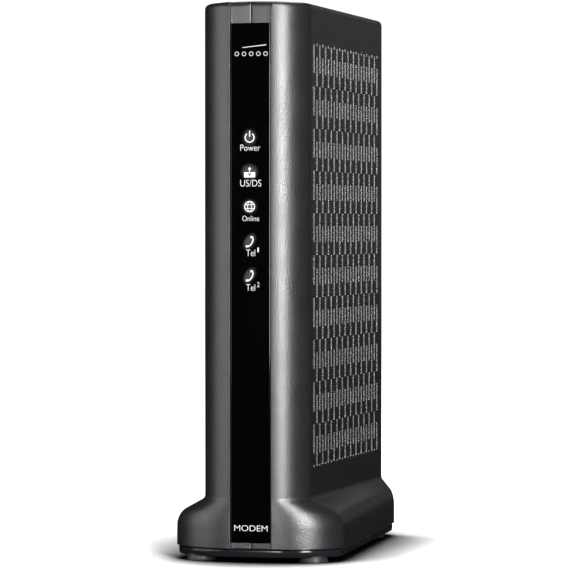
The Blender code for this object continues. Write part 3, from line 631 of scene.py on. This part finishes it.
def case_levels():
    """(height, flare, inset, inner height) up the case."""
    full = HALF_FOOT_FRONT - HALF_BODY
    turn = pi / 2 - SLOPE
    found = [(CASE_BOTTOM, 1.0, 0.2), (CASE_BOTTOM + 0.06, 1.0, 0.06), (CASE_BOTTOM + 0.22, 1.0, 0.0),
             (9.0, 1.0, 0.0)]
    for i in range(SHOULDER_STEPS + 1):
        angle = turn * i / SHOULDER_STEPS
        found.append((SHOULDER_Z + SHOULDER_RADIUS * sin(angle),
                      1 - SHOULDER_RADIUS * (1 - cos(angle)) / full, 0.0))
    start_z, start_flare = found[-1][:2]
    hollow = HOLLOW_RADIUS * (1 - sin(SLOPE)) / full
    slope_top = start_z + (start_flare - hollow) * full * tan(SLOPE)
    for i in range(1, SLOPE_STEPS):
        share = i / SLOPE_STEPS
        found.append((lerp(start_z, slope_top, share), lerp(start_flare, hollow, share), 0.0))
    for i in range(HOLLOW_STEPS + 1):
        angle = SLOPE + (pi / 2 - SLOPE) * i / HOLLOW_STEPS
        found.append((slope_top + HOLLOW_RADIUS * (cos(SLOPE) - cos(angle)),
                      HOLLOW_RADIUS * (1 - sin(angle)) / full, 0.0))
    lines = {round(z, 4) for column in (0, 1) for span in slot_spans(column) for z in span}
    found += [(z, 0.0, 0.0) for z in sorted(lines | set(PANEL_Z) | PLAIN_LEVELS)]
    for i in range(ROOF_STEPS + 1):
        angle = pi / 2 * i / ROOF_STEPS
        found.append((HEIGHT - TOP_RADIUS * (1 - sin(angle)), 0.0, TOP_RADIUS * (1 - cos(angle))))
    levels = []
    for z, flare, distance in found:
        # Keeps the wall even on the slope
        drop = min(MOST_DROP, max(0.0, z - DROP_START) * DROP_SHARE) if flare > 0.0 else 0.0
        levels.append((z, flare, distance, min(z - drop, HEIGHT - WALL)))
    return levels


def case_half(side):
    """One case half as a closed shell with real wall thickness at every opening."""
    bm = bmesh.new()
    levels = case_levels()
    top = len(levels) - 1

    def stand(points, z, crown=0.0):
        return [bm.verts.new((side * x, y, z - crown * x / HALF_BODY)) for x, y in points]

    outer = [stand(outer_ring(flare, distance), z, CROWN if z > HEIGHT - TOP_RADIUS - 0.001 else 0.0)
             for z, flare, distance, _ in levels]
    inner = [stand(inner_ring(flare, 0.0 if flare else distance), low) for z, flare, distance, low in levels]
    for k, lowered in ((0, EDGE), (1, EDGE_MIDDLE)):
        outer[top][k].co.z -= lowered
        outer[top][-1 - k].co.z -= lowered
    count = len(outer[0])
    heights = [level[0] for level in levels]

    closed = [[True] * (count - 1) for _ in range(top)]  # [level][outline point]

    def open_cells(points, span):
        for k in range(top):
            if heights[k] >= span[0] - 1e-3 and heights[k + 1] <= span[1] + 1e-3:
                for i in points:
                    closed[k][i] = False

    for column in range(len(COLUMNS)):
        for span in slot_spans(column):
            open_cells([FIRST_VENT + 2 * column], span)
    with_vents = [row[:] for row in closed]
    for z in LIGHTS.values():  # the case is open behind the lens for the light pipes
        open_cells(range(WINDOW_POINT), (max(h for h in heights if h <= z - WINDOW_REACH),
                                         min(h for h in heights if h >= z + WINDOW_REACH)))
    open_cells(range(PANEL_POINT, count - 1), PANEL_Z)

    def kept(k, i):
        return 0 <= k < top and 0 <= i < count - 1 and closed[k][i]

    for k in range(top):
        for i in range(count - 1):
            if closed[k][i]:
                for rows in (outer, inner):
                    bm.faces.new((rows[k][i], rows[k][i + 1], rows[k + 1][i + 1], rows[k + 1][i]))
    walls = []
    for k in range(top + 1):
        for i in range(count):
            if k < top and kept(k, i) != kept(k, i - 1):
                walls.append(((k, i), (k + 1, i)))
            if k < top and i < count - 1 and kept(k, i) != kept(k - 1, i):
                walls.append(((k, i), (k, i + 1)))
    for (ka, ia), (kb, ib) in walls:
        bm.faces.new((outer[ka][ia], outer[kb][ib], inner[kb][ib], inner[ka][ia]))
    roof = outer[top]
    bm.faces.new(roof[2:-2])
    for k in (0, 1):
        bm.faces.new((roof[k], roof[k + 1], roof[-2 - k], roof[-1 - k]))
    bm.faces.new(inner[top])
    bm.faces.new((roof[0], roof[-1], inner[top][-1], inner[top][0]))

    bmesh.ops.recalc_face_normals(bm, faces=bm.faces)
    posts = slot_posts(bm, outer, inner, with_vents, heights)
    bevel(bm, posts, SLOT_CORNER, 3, clamp_overlap=False)
    bevel(bm, slot_rims(bm), SLOT_RIM, 2, clamp_overlap=False)
    return bm


def slot_rims(bm):
    """The vents' outer edges, on the flat side of the body."""
    def on_side(vert):
        return (abs(abs(vert.co.x) - HALF_BODY) < 0.01 and vert.co.z < VENT_TOP + 1
                and COLUMNS[0] - 2 < vert.co.y < COLUMNS[-1] + 3)

    return [e for e in bm.edges if len(e.link_faces) == 2 and on_side(e.verts[0]) and on_side(e.verts[1])
            and e.calc_face_angle() > RIM_ANGLE]


def slot_posts(bm, outer, inner, closed, heights):
    """The edges through the wall at each whole vent's corners, which get rounded."""
    top = len(closed)
    posts = []
    for k in range(1, top):
        for i in range(FIRST_VENT, PAST_VENTS):
            around = [closed[k + a][i + b] for a in (-1, 0) for b in (-1, 0)]
            if around.count(False) != 1:
                continue
            above, after = divmod(around.index(False), 2)  # where the opening is from this corner
            level = k
            while 0 < level < top and not closed[level + above - 1][i + after - 1]:
                level += 1 if above else -1
            if abs(heights[level] - heights[k]) > LEAST_ROUNDED:
                posts.append(bm.edges.get((outer[k][i], inner[k][i])))
    return posts


def seam_lip():
    """Strips behind the seam, on the left half, so that no light passes between the halves."""
    bm = bmesh.new()
    half, front, rear = 1.4, (CHANNEL_BACK + 0.02, CHANNEL_BACK + 0.7), (62.1, 62.78)
    for y, z in ((front, (8.6, 102.0)), (front, (172.0, 213.0)), ((front[0], 62.0), (213.05, 213.78)),
                 (rear, (8.6, 33.5)), (rear, (188.6, 213.0))):
        join(bm, soft_box((-half, y[0], z[0]), (half, y[1], z[1]), 0.1, 1))
    return bm


def make_case():
    piece("case_right", case_half(1), CASE, ["right_housing"])
    left = case_half(-1)
    join(left, seam_lip())
    piece("case_left", left, CASE, ["left_housing"])


# ---- base

def foot_ring(distance, z):
    """The whole foot's plan, a distance inside the case, without the channel."""
    right = inset(corners(1.0)[LIP_CORNER:-1], distance)
    if distance > WALL:
        right = [(x, max(y, CHANNEL_BACK + distance - WALL)) for x, y in right]
    return [(x, y, z) for x, y in right] + [(-x, y, z) for x, y in reversed(right)]


def mirrored(places):
    """(name, x, y) on the right and on the left of each place."""
    return [(f"{end}_{name}", side * x, y) for end, (x, y) in places.items()
            for side, name in ((1, "right"), (-1, "left"))]


def make_base():
    low, top = PLATE_BOTTOM, PLATE_TOP
    # (distance inside the case, height)
    profile = [(1.75, low), (1.32, low + 0.03), (1.08, low + 0.14), (0.96, low + 0.32), (0.88, low + 0.8),
               (0.83, low + 1.2), (0.8, low + 1.6), (0.73, top - 0.42), (0.78, top - 0.22), (0.9, top - 0.08),
               (1.1, top), (WALL + 0.4, top), (WALL + 0.5, PLATE_RIM), (WALL + 2.0, PLATE_RIM),
               (WALL + 2.2, top - 0.6)]
    bm = bmesh.new()
    loft(bm, [foot_ring(distance, z) for distance, z in profile])
    cut = bmesh.new()
    for _, x, y in mirrored(FOOT_PADS):
        turned(cut, [(6.05, 1.0), (6.05, 2.8)], (x, y, 0))
    for _, x, y in mirrored(BASE_SCREWS):
        turned(cut, [(3.3, 1.0), (3.3, 4.05), (1.6, 4.05), (1.6, 6.0)], (x, y, 0), sides=32)
    piece("bottom_plate", carve(bm, cut), PLATE, ["base_plate"], weighted=False)

    for name, x, y in mirrored(FOOT_PADS):
        pad = bmesh.new()
        turned(pad, ((2.0, 0.14), (4.4, 0.1), (4.85, 0.0), (5.5, 0.0), (5.7, 0.1), (5.75, 0.26), (5.7, 0.42),
                     (5.56, 0.56), (5.46, 0.9), (5.4, 1.6), (5.4, 2.38), (5.3, 2.5)), (x, y, 0), sides=64)
        piece(f"rubber_foot_{name}", pad, RUBBER, [f"foot_{name}"], weighted=False)
    for name, x, y in mirrored(BASE_SCREWS):
        made = bmesh.new()
        turned(made, [(1.6, 2.52), (2.3, 2.62), (2.75, 2.9), (2.9, 3.3), (2.9, 3.95), (1.2, 3.98)]
               + [(1.2 if i % 2 else 0.95, 4.4 + 0.45 * i) for i in range(25)] + [(0.5, 15.9), (0.2, 16.4)],
               (x, y, 0), sides=24)
        cross = bmesh.new()
        for a, b in ((1.55, 0.3), (0.3, 1.55)):
            box(cross, (x - a, y - b, 2.0), (x + a, y + b, 3.4))
        piece(f"screw_{name}", carve(made, cross), STEEL, [f"base_screw_{name}"],
              weighted=False)


# ---- lens and symbols

def make_lens():
    bm = bmesh.new()
    box(bm, (-LENS_HALF, LENS_FRONT, LENS_Z[0]), (LENS_HALF, LENS_FRONT + LENS_THICK, LENS_Z[1]))
    upright = [e for e in bm.edges if abs(e.verts[0].co.y - e.verts[1].co.y) > 0.5]
    bevel(bm, upright, 0.45, 4)
    rim = [e for e in bm.edges if all(abs(v.co.y - LENS_FRONT) < 1e-4 for v in e.verts)]
    bevel(bm, rim, 0.16, 3)
    piece("lens_face", bm, LENS, ["front_lens"])


def symbol(name, bm):
    piece(f"symbol_{name}", bm, SYMBOL, flat=True)


def handset(bm, x, z, depths, scale=1.0, facing=1):
    """A telephone handset, drawn as one curved stroke that is thicker at its ends."""
    path = smooth_path([(0.35, 1.62), (0.95, 1.72), (1.32, 1.2), (1.28, 0.4), (0.85, -0.65), (0.25, -1.42),
                        (-0.6, -1.86), (-1.5, -1.78)])
    widths = [lerp(0.86, 0.42, min(1.0, min(i, len(path) - 1 - i) / 12)) for i in range(len(path))]
    widths[0] *= 0.8
    widths[-1] *= 0.8
    path = [(x + facing * scale * a, z + scale * b) for a, b in path]
    stroke(bm, path, [scale * w for w in widths], depths)


def make_symbols():
    depths = (LENS_FRONT - 0.05, LENS_FRONT - 0.004)
    x = PRINT_X

    bm = bmesh.new()
    z = LIGHTS["power"]
    stroke(bm, arc(x, z, 1.76, 1.76, 126, 414, 40), 0.4, depths)
    stroke(bm, [(x, z + 0.3), (x, z + 2.6)], 0.4, depths)
    symbol("power", bm)

    bm = bmesh.new()
    z = LIGHTS["data"] - 2.2
    tray = ((2.2, 0), (0.02, 0), (0.02, 0.5), (0.52, 1.25), (0.3, 2.0), (2.2, 2.0))
    arrow = ((0, 4.05), (0.72, 3.05), (0.17, 3.05), (0.15, 1.35), (-0.15, 1.35), (-0.17, 3.05), (-0.72, 3.05))
    for side, outline in ((1, tray), (-1, tray), (1, arrow)):
        tile(bm, [(x + side * a, z + b) for a, b in outline], depths)
    symbol("data", bm)

    bm = bmesh.new()
    z = LIGHTS["online"]
    stroke(bm, arc(x, z, 1.96, 1.96, 0, 352, 44), 0.32, depths, closed=True)
    stroke(bm, arc(x, z, 0.82, 1.9, 0, 350, 36), 0.24, [y - 0.002 for y in depths], closed=True)
    for dz in (-0.72, 0.72):
        half = sqrt(1.9 ** 2 - dz ** 2)
        stroke(bm, [(x - half, z + dz), (x + half, z + dz)], 0.24, [y - 0.004 for y in depths])
    symbol("online", bm)

    for name in ("line_1", "line_2"):
        bm = bmesh.new()
        handset(bm, x, LIGHTS[name], depths)
        symbol(name, bm)

    # Each word's text, middle, bottom, top and width
    for name, parts in {
            "power": [("Power", -0.05, 158.4, 160.8, 7.9)],
            "data": [("US/DS", 0.12, 144.7, 147.3, 8.3)],
            "online": [("Online", 0.1, 131.45, 133.5, 6.65)],
            "line_1": [("Tel", 0.08, 118.0, 120.5, 3.6), ("1", 3.05, 119.5, 121.3, 0.55)],
            "line_2": [("Tel", 0.08, 104.7, 107.2, 3.6), ("2", 3.1, 106.15, 108.0, 1.0)],
            "base": [("MODEM", 0.15, 12.25, 14.5, 13.2)]}.items():
        bm = bmesh.new()
        for text, centre, low, high, width in parts:
            word(bm, text, centre, low, high, width, depths, -0.012 if name == "base" else -0.01)
        # the words glow with painted light
        piece(f"word_{name}", bm, WORD, flat=True)

    bm = bmesh.new()
    first, pitch, z, radius = -5.4, 2.85, 195.6, 0.74
    for i in range(5):
        stroke(bm, arc(first + pitch * i, z, radius, radius, 0, 345, 24), 0.2, depths, closed=True)
    tile(bm, [(-3.2, 197.9), (6.3, 198.85), (6.3, 199.15), (-3.2, 198.1)], depths)
    # the emblem glows with painted light
    piece("emblem_plain", bm, WORD, flat=True)


# ---- rear

def rounded_plate(half_x, z_low, z_high, radius, y_levels, steps=5):
    """Rings of a rectangle with round corners, at (y, shrink) pairs."""
    rings = []
    for y, shrink in y_levels:
        ring = []
        hx, lo, hi, r = half_x - shrink, z_low + shrink, z_high - shrink, max(radius - shrink, 0.05)
        centres = ((hx - r, hi - r), (r - hx, hi - r), (r - hx, lo + r), (hx - r, lo + r))
        for quarter, (cx, cz) in enumerate(centres):
            for i in range(steps + 1):
                angle = pi / 2 * (quarter + i / steps)
                ring.append((cx + r * cos(angle), y, cz + r * sin(angle)))
        rings.append(ring)
    return rings


def make_panel():
    bm = bmesh.new()
    loft(bm, rounded_plate(PANEL_HALF - 0.2, PANEL_Z[0] + 0.2, PANEL_Z[1] - 0.2, 0.5,
                           [(PANEL_FACE - 2, 0), (PANEL_FACE - 0.2, 0), (PANEL_FACE - 0.06, 0.06),
                            (PANEL_FACE, 0.2)], 3))
    cut = bmesh.new()
    for places, (x, half) in ((PHONE_Z, PHONE_HALF), (NETWORK_Z, NETWORK_HALF)):
        for z in places:
            box(cut, (-x, PANEL_FACE - 6, z - half), (x, PANEL_FACE + 3, z + half))
    for radius, z in ((1.9, RESET_Z), (5.0, COAX_Z), (4.6, POWER_Z)):
        turned(cut, [(radius, -6), (radius, -0.35), (radius + 0.4, 0.05), (radius + 0.4, 3)],
               (0, PANEL_FACE, z), "Y")
    bm = carve(bm, cut)
    flange = bmesh.new()
    y = BACK - WALL - 0.3
    outer = rounded_plate(PANEL_HALF + 1.4, PANEL_Z[0] - 1.9, PANEL_Z[1] + 1.9, 2.0, [(y - 1.1, 0), (y, 0)])
    inner = rounded_plate(PANEL_HALF - 0.6, PANEL_Z[0] + 0.6, PANEL_Z[1] - 0.6, 1.0, [(y - 1.1, 0), (y, 0)])
    skin(flange, (outer[0], outer[1], inner[1], inner[0]), looped=True)
    join(bm, flange)
    piece("port_panel", bm, PANEL, ["rear_panel"], weighted=False)


def contacts(name, z, count, x_wall, x_tip, depth):
    """A jack's row of spring wires."""
    bm = bmesh.new()
    for i in range(count):
        at = z + (i - (count - 1) / 2) * CONTACT_PITCH
        wire(bm, [(x_wall + 0.15, JACK_FACE - 1.6, at), (x_wall + 0.3, JACK_FACE - 2.3, at),
                  (x_tip, JACK_FACE - depth * 0.62, at), (x_tip - 0.1, JACK_FACE - depth * 0.72, at),
                  (x_wall + 1.2, JACK_FACE - depth + 0.6, at)], 0.2)
    piece(name, bm, GOLD)


def rear_print(name, bm):
    piece(f"rear_print_{name}", bm, REAR_PRINT, flat=True)


def rear_pictures():
    """Small printed symbols beside the ports. They face the rear."""
    depths = (PANEL_FACE + 0.03, PANEL_FACE - 0.05)
    digits = {1: 0.8, 2: 1.2}  # and their widths
    for i, z in enumerate(PHONE_Z, 1):
        bm = bmesh.new()
        handset(bm, -10.6, z + 1.0, depths, 0.8, -1)
        word(bm, str(i), -10.6, z - 4.2, z - 2.2, digits[i], depths, 0.004, facing=1)
        rear_print(f"phone_{i}", bm)
    for i, z in enumerate(NETWORK_Z, 1):
        bm = bmesh.new()
        for dx, dz in ((0, 1.9), (-1.5, -0.6), (1.5, -0.6)):
            stroke(bm, arc(PRINT_FAR + dx, z + 1.2 + dz, 0.5, 0.5, 0, 340, 18), 0.28, depths, closed=True)
        for points in (((0, 1.3), (0, 0.6)), ((-1.5, 0.55), (1.5, 0.55)), ((-1.5, 0.6), (-1.5, -0.1)),
                       ((1.5, 0.6), (1.5, -0.1))):
            stroke(bm, [(PRINT_FAR + a, z + 1.2 + b) for a, b in points], 0.22, depths)
        word(bm, str(i), PRINT_FAR, z - 4.6, z - 2.6, digits[i], depths, 0.004, facing=1)
        rear_print(f"network_{i}", bm)
    bm = bmesh.new()
    stroke(bm, arc(PRINT_NEAR, RESET_Z, 1.25, 1.25, 70, 360, 26), 0.3, depths)
    arrow = ((1.25, -0.75), (0.75, 0.1), (1.85, 0.1))
    tile(bm, [(PRINT_NEAR + a, RESET_Z + b) for a, b in arrow], depths)
    rear_print("reset", bm)
    bm = bmesh.new()
    stroke(bm, arc(PRINT_FAR, COAX_Z, 1.5, 1.5, 0, 350, 36), 0.3, depths, closed=True)
    stroke(bm, arc(PRINT_FAR, COAX_Z, 0.4, 0.4, 0, 340, 18), 0.4, depths, closed=True)
    rear_print("coax", bm)
    bm = bmesh.new()
    for start, end, dz in ((-12.6, -9.0, 0.7), (-12.6, -11.7, -0.5), (-11.25, -10.35, -0.5),
                           (-9.9, -9.0, -0.5)):
        stroke(bm, [(start, POWER_Z + dz), (end, POWER_Z + dz)], 0.32, depths)
    rear_print("power", bm)


def make_ports():
    for i, z in enumerate(PHONE_Z, 1):
        contacts(f"phone_contacts_{i}", z, 4, -3.4, -0.6, 10.0)
    for i, z in enumerate(NETWORK_Z, 1):
        contacts(f"network_contacts_{i}", z, 8, -3.8, -0.8, 12.0)
        for end, look in (("upper", GREEN_LAMP), ("lower", AMBER_LAMP)):
            at = z + (LAMP_UP if end == "upper" else -LAMP_UP)
            lamp = soft_box((4.3, JACK_FACE - 0.5, at - 1.1), (6.1, JACK_FACE + 0.12, at + 1.1), 0.15)
            piece(f"port_lamp_{i}_{end}", lamp, look)
        bm = bmesh.new()
        low, high = JACK_FACE - 0.2, JACK_FACE + 0.14
        for x, at, half in (((-3.0, 2.4), z + SPRING_UP, 0.32), ((-3.0, 2.4), z - SPRING_UP, 0.32),
                            ((-5.6, -4.9), z, 3.2)):
            join(bm, soft_box((x[0], low, at - half), (x[1], high, at + half), 0.12))
        piece(f"shield_springs_{i}", bm, TIN)
    make_power_jack()
    make_coax()

    bm = bmesh.new()
    end = PANEL_FACE - 0.9
    turned(bm, [(0.5, end - 0.12), (0.85, end - 0.1), (1.15, end), (1.4, end - 0.08), (1.57, end - 0.28),
                (1.6, end - 0.6), (1.6, 61.0), (2.5, 61.0), (2.5, 60.0), (0.9, 60.0), (0.9, 54.8)],
           (0, 0, RESET_Z), "Y", 40)
    piece("button_cap", bm, RED, ["reset_button"], body="reset_button_body", weighted=False)


def make_power_jack():
    mouth = (0, JACK_FACE, POWER_Z)
    bm = soft_box((-5.6, JACK_FACE - 14.0, POWER_Z - 4.8), (5.6, PANEL_FACE - 5.0, POWER_Z + 4.8), 0.35)
    nose, bore, pin = bmesh.new(), bmesh.new(), bmesh.new()
    turned(nose, [(4.3, -7.8), (4.3, -0.35), (4.2, -0.1), (4.0, 0)], mouth, "Y", 64)
    turned(bore, [(3.05, -10.0), (3.05, -0.4), (3.4, 0.02), (3.4, 1)], mouth, "Y", 64)
    bm = carve(carve(bm, nose, "UNION"), bore)
    piece("power_socket", bm, JACK_BLACK, ["power_jack"], weighted=False)
    turned(pin, [(1.0, -10.4), (1.0, -2.5), (0.85, -2.15), (0.45, -2.0)], mouth, "Y", 32)
    piece("power_pin", pin, NICKEL)
    spring = soft_box((-0.8, JACK_FACE - 9.4, POWER_Z + 2.35), (0.8, JACK_FACE - 2.6, POWER_Z + 2.75), 0.12)
    piece("power_spring", spring, NICKEL)


def make_coax():
    """The coaxial connector. Heights are from its open end, or from the panel for its nut and washer."""
    start, turns = PANEL_FACE + 2.9 - COAX_END, 7  # of the barrel's thread
    pitch = (-0.7 - start) / turns
    thread = [(radius, start + (i + share) * pitch) for i in range(turns)
              for radius, share in ((4.34, 0.1), (4.68, 0.42), (4.7, 0.58), (4.36, 0.9))]
    root = [(2.4, -20.8), (6.0, -20.8), (6.0, -16.8), (4.7, -16.8), (4.7, start - 0.1)]
    mouth = [(4.3, -0.45), (4.12, -0.12), (3.95, 0), (3.6, 0), (3.5, -0.15), (3.5, -7.5), (2.4, -7.5)]
    end, panel = (0, COAX_END, COAX_Z), (0, PANEL_FACE, COAX_Z)
    bm = bmesh.new()
    turned_ring(bm, root + thread + mouth, end, "Y", 64)
    piece("coax_barrel", bm, NICKEL, ["coax_connector"], weighted=False)
    bm = bmesh.new()
    turned_ring(bm, [(0.55, -7.0), (3.2, -7.0), (3.2, -1.3), (3.0, -1.15), (1.3, -1.0), (0.75, -1.25),
                     (0.55, -1.6)], end, "Y", 48)
    turned(bm, [(2.1, -19.8), (2.1, -7.1), (0.3, -7.05)], end, "Y", 32)
    piece("coax_core", bm, INSULATOR, ["coax_insulator"], weighted=False)
    bm = bmesh.new()
    turned(bm, [(5.9, 0.3), (6.3, 0.5), (6.3, 2.25), (5.85, 2.5)], panel, "Y", 6)
    bore = bmesh.new()
    turned(bore, [(4.95, -1), (4.95, 5)], panel, "Y")
    piece("coax_hex", carve(bm, bore), NICKEL, ["coax_nut"], weighted=False)
    bm = bmesh.new()
    turned_ring(bm, [(5.05, 0.02), (6.55, 0.02), (6.6, 0.12), (6.5, 0.26), (5.05, 0.26)], panel, "Y", 64)
    piece("coax_washer", bm, STEEL)


# ---- carried-over CAD nodes

def dress_nodes():
    """Gives each part that is shown as CAD its look, by the start of its name."""
    looks = ((JACK_BLACK, "light_mask board_link phone_jack"), (BOARD, "light_board main_board"),
             (CHIP, "processor memory_chip flash_chip phone_line_chip ethernet_transformer"),
             (CHIP, "power_inductor reset_switch"), (TIN, "tuner_shield ethernet_jack"), (PAD, "thermal_pad"),
             (FINS, "heat_sink"), (SLEEVE, "capacitor"), (PIPE, "light_pipe"), (LED, "led_"),
             (STEEL, "board_screw"), (LABEL, "blank_label"))
    for name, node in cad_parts.items():
        if node.hide_render:
            continue
        look = next(look for look, starts in looks if name.startswith(tuple(starts.split())))
        if node.material_slots:
            for slot in node.material_slots:
                slot.material = look
        else:
            node.data.materials.append(look)
        if name.startswith(("ethernet_jack", "phone_jack", "capacitor", "tuner_shield")):
            soft = node.modifiers.new("soft_edges", "BEVEL")
            soft.width, soft.segments = 0.12 * MM, 2
            soft.limit_method, soft.angle_limit = "ANGLE", radians(40)


# ---- stage

LIGHT_AIM = (0, 0, 100)
SHADE_REACH = 52.0  # how far the painted shadow under the foot spreads over the floor


def area_light(name, azimuth, elevation, distance, size, power):
    """A soft box that faces the object's middle, from an azimuth measured like the camera's."""
    data = bpy.data.lights.new(name, "AREA")
    data.shape = "RECTANGLE"
    data.size, data.size_y = size
    data.energy = power
    made = placed(name, data)
    a, e = radians(azimuth), radians(elevation)
    back = Vector((sin(a) * cos(e), -cos(a) * cos(e), sin(e)))
    made.location = Vector(LIGHT_AIM) * MM + back * distance
    made.rotation_mode = "QUATERNION"
    made.rotation_quaternion = (-back).to_track_quat("-Z", "Y")


def make_stage():
    bm = bmesh.new()
    rows = skin(bm, [circle(radius, 0, (0, 0, 0), "Z", 64) for radius in (120.0, 500.0, 1500.0, 6000.0)])
    bm.faces.new(rows[0])
    mesh = as_mesh("floor", bm)
    mesh.transform(SCALE)
    floor = placed("floor", mesh)
    n = Nodes("pale_floor_painted_shadow")
    cloud = n.noise(180.0)
    # painted contact shadow: ambient occlusion darkens the floor's colour towards near black close to the
    # object
    near = n.add("ShaderNodeAmbientOcclusion", {"Distance": SHADE_REACH * MM}, samples=12).outputs["AO"]
    open_floor = n.mixed(cloud, grey(0.9), grey(0.93))
    unshadowed_share = n.maths("POWER", n.ranged(near, 0.0, 1.0, 0.48, 0.99), 2.0)
    n.set(Base_Color=n.mixed(unshadowed_share, grey(0.002), open_floor), Roughness=n.ranged(cloud, 0.75, 0.85),
          Specular_IOR_Level=0.0)
    mesh.materials.append(n.material)
    floor.visible_glossy = False

    make_world()
    near, far = 1.5, 1.9
    for light in (("key", 35, 24, near, (0.3, 1.5), 58.0), ("key_low", 36, 2, near, (0.32, 0.26), 15.0),
                  ("front", -4, 14, near, (0.17, 1.0), 6.0), ("front_low", -5, 1.5, near, (0.3, 0.24), 7.2),
                  ("side_low", -42, 1, near, (0.6, 0.24), 2.6), ("side", -63, 10, near, (0.9, 1.1), 9.5),
                  ("rear", 187, 55, far, (0.6, 0.6), 12.0), ("rear_low", 184, 12, far, (0.5, 0.3), 0.18),
                  ("rear_side", 166, 12, far, (0.5, 0.9), 0.2)):
        area_light(*light)


def make_world():
    """A white room as the camera and the floor see it, and a dark one for reflections."""
    world = bpy.data.worlds.new("studio")
    world.use_nodes = True
    tree = world.node_tree
    shade = tree.nodes["Background"]
    shade.inputs["Color"].default_value = (1, 1, 1, 1)
    ray = tree.nodes.new("ShaderNodeLightPath")
    level = tree.nodes.new("ShaderNodeMapRange")
    level.inputs["To Min"].default_value = 1.15
    level.inputs["To Max"].default_value = 0.012
    tree.links.new(ray.outputs["Is Glossy Ray"], level.inputs["Value"])
    tree.links.new(level.outputs["Result"], shade.inputs["Strength"])
    bpy.context.scene.world = world


def make_camera():
    """The camera as it was fitted to the vents, the lights and the outline in the photograph."""
    data = bpy.data.cameras.new("camera")
    data.sensor_width, data.lens = 36.0, 221.875
    data.clip_start, data.clip_end = 0.05, 40.0
    camera = placed("camera", data)
    camera.location = (0.3522, -1.3893, 0.1290)
    camera.rotation_euler = (radians(90 - 0.977), 0.0, radians(14.37))
    bpy.context.scene.camera = camera
    bpy.context.scene.view_settings.view_transform = "Standard"


make_case()
make_base()
make_lens()
make_symbols()
make_panel()
make_ports()
rear_pictures()
dress_nodes()
make_stage()
make_camera()
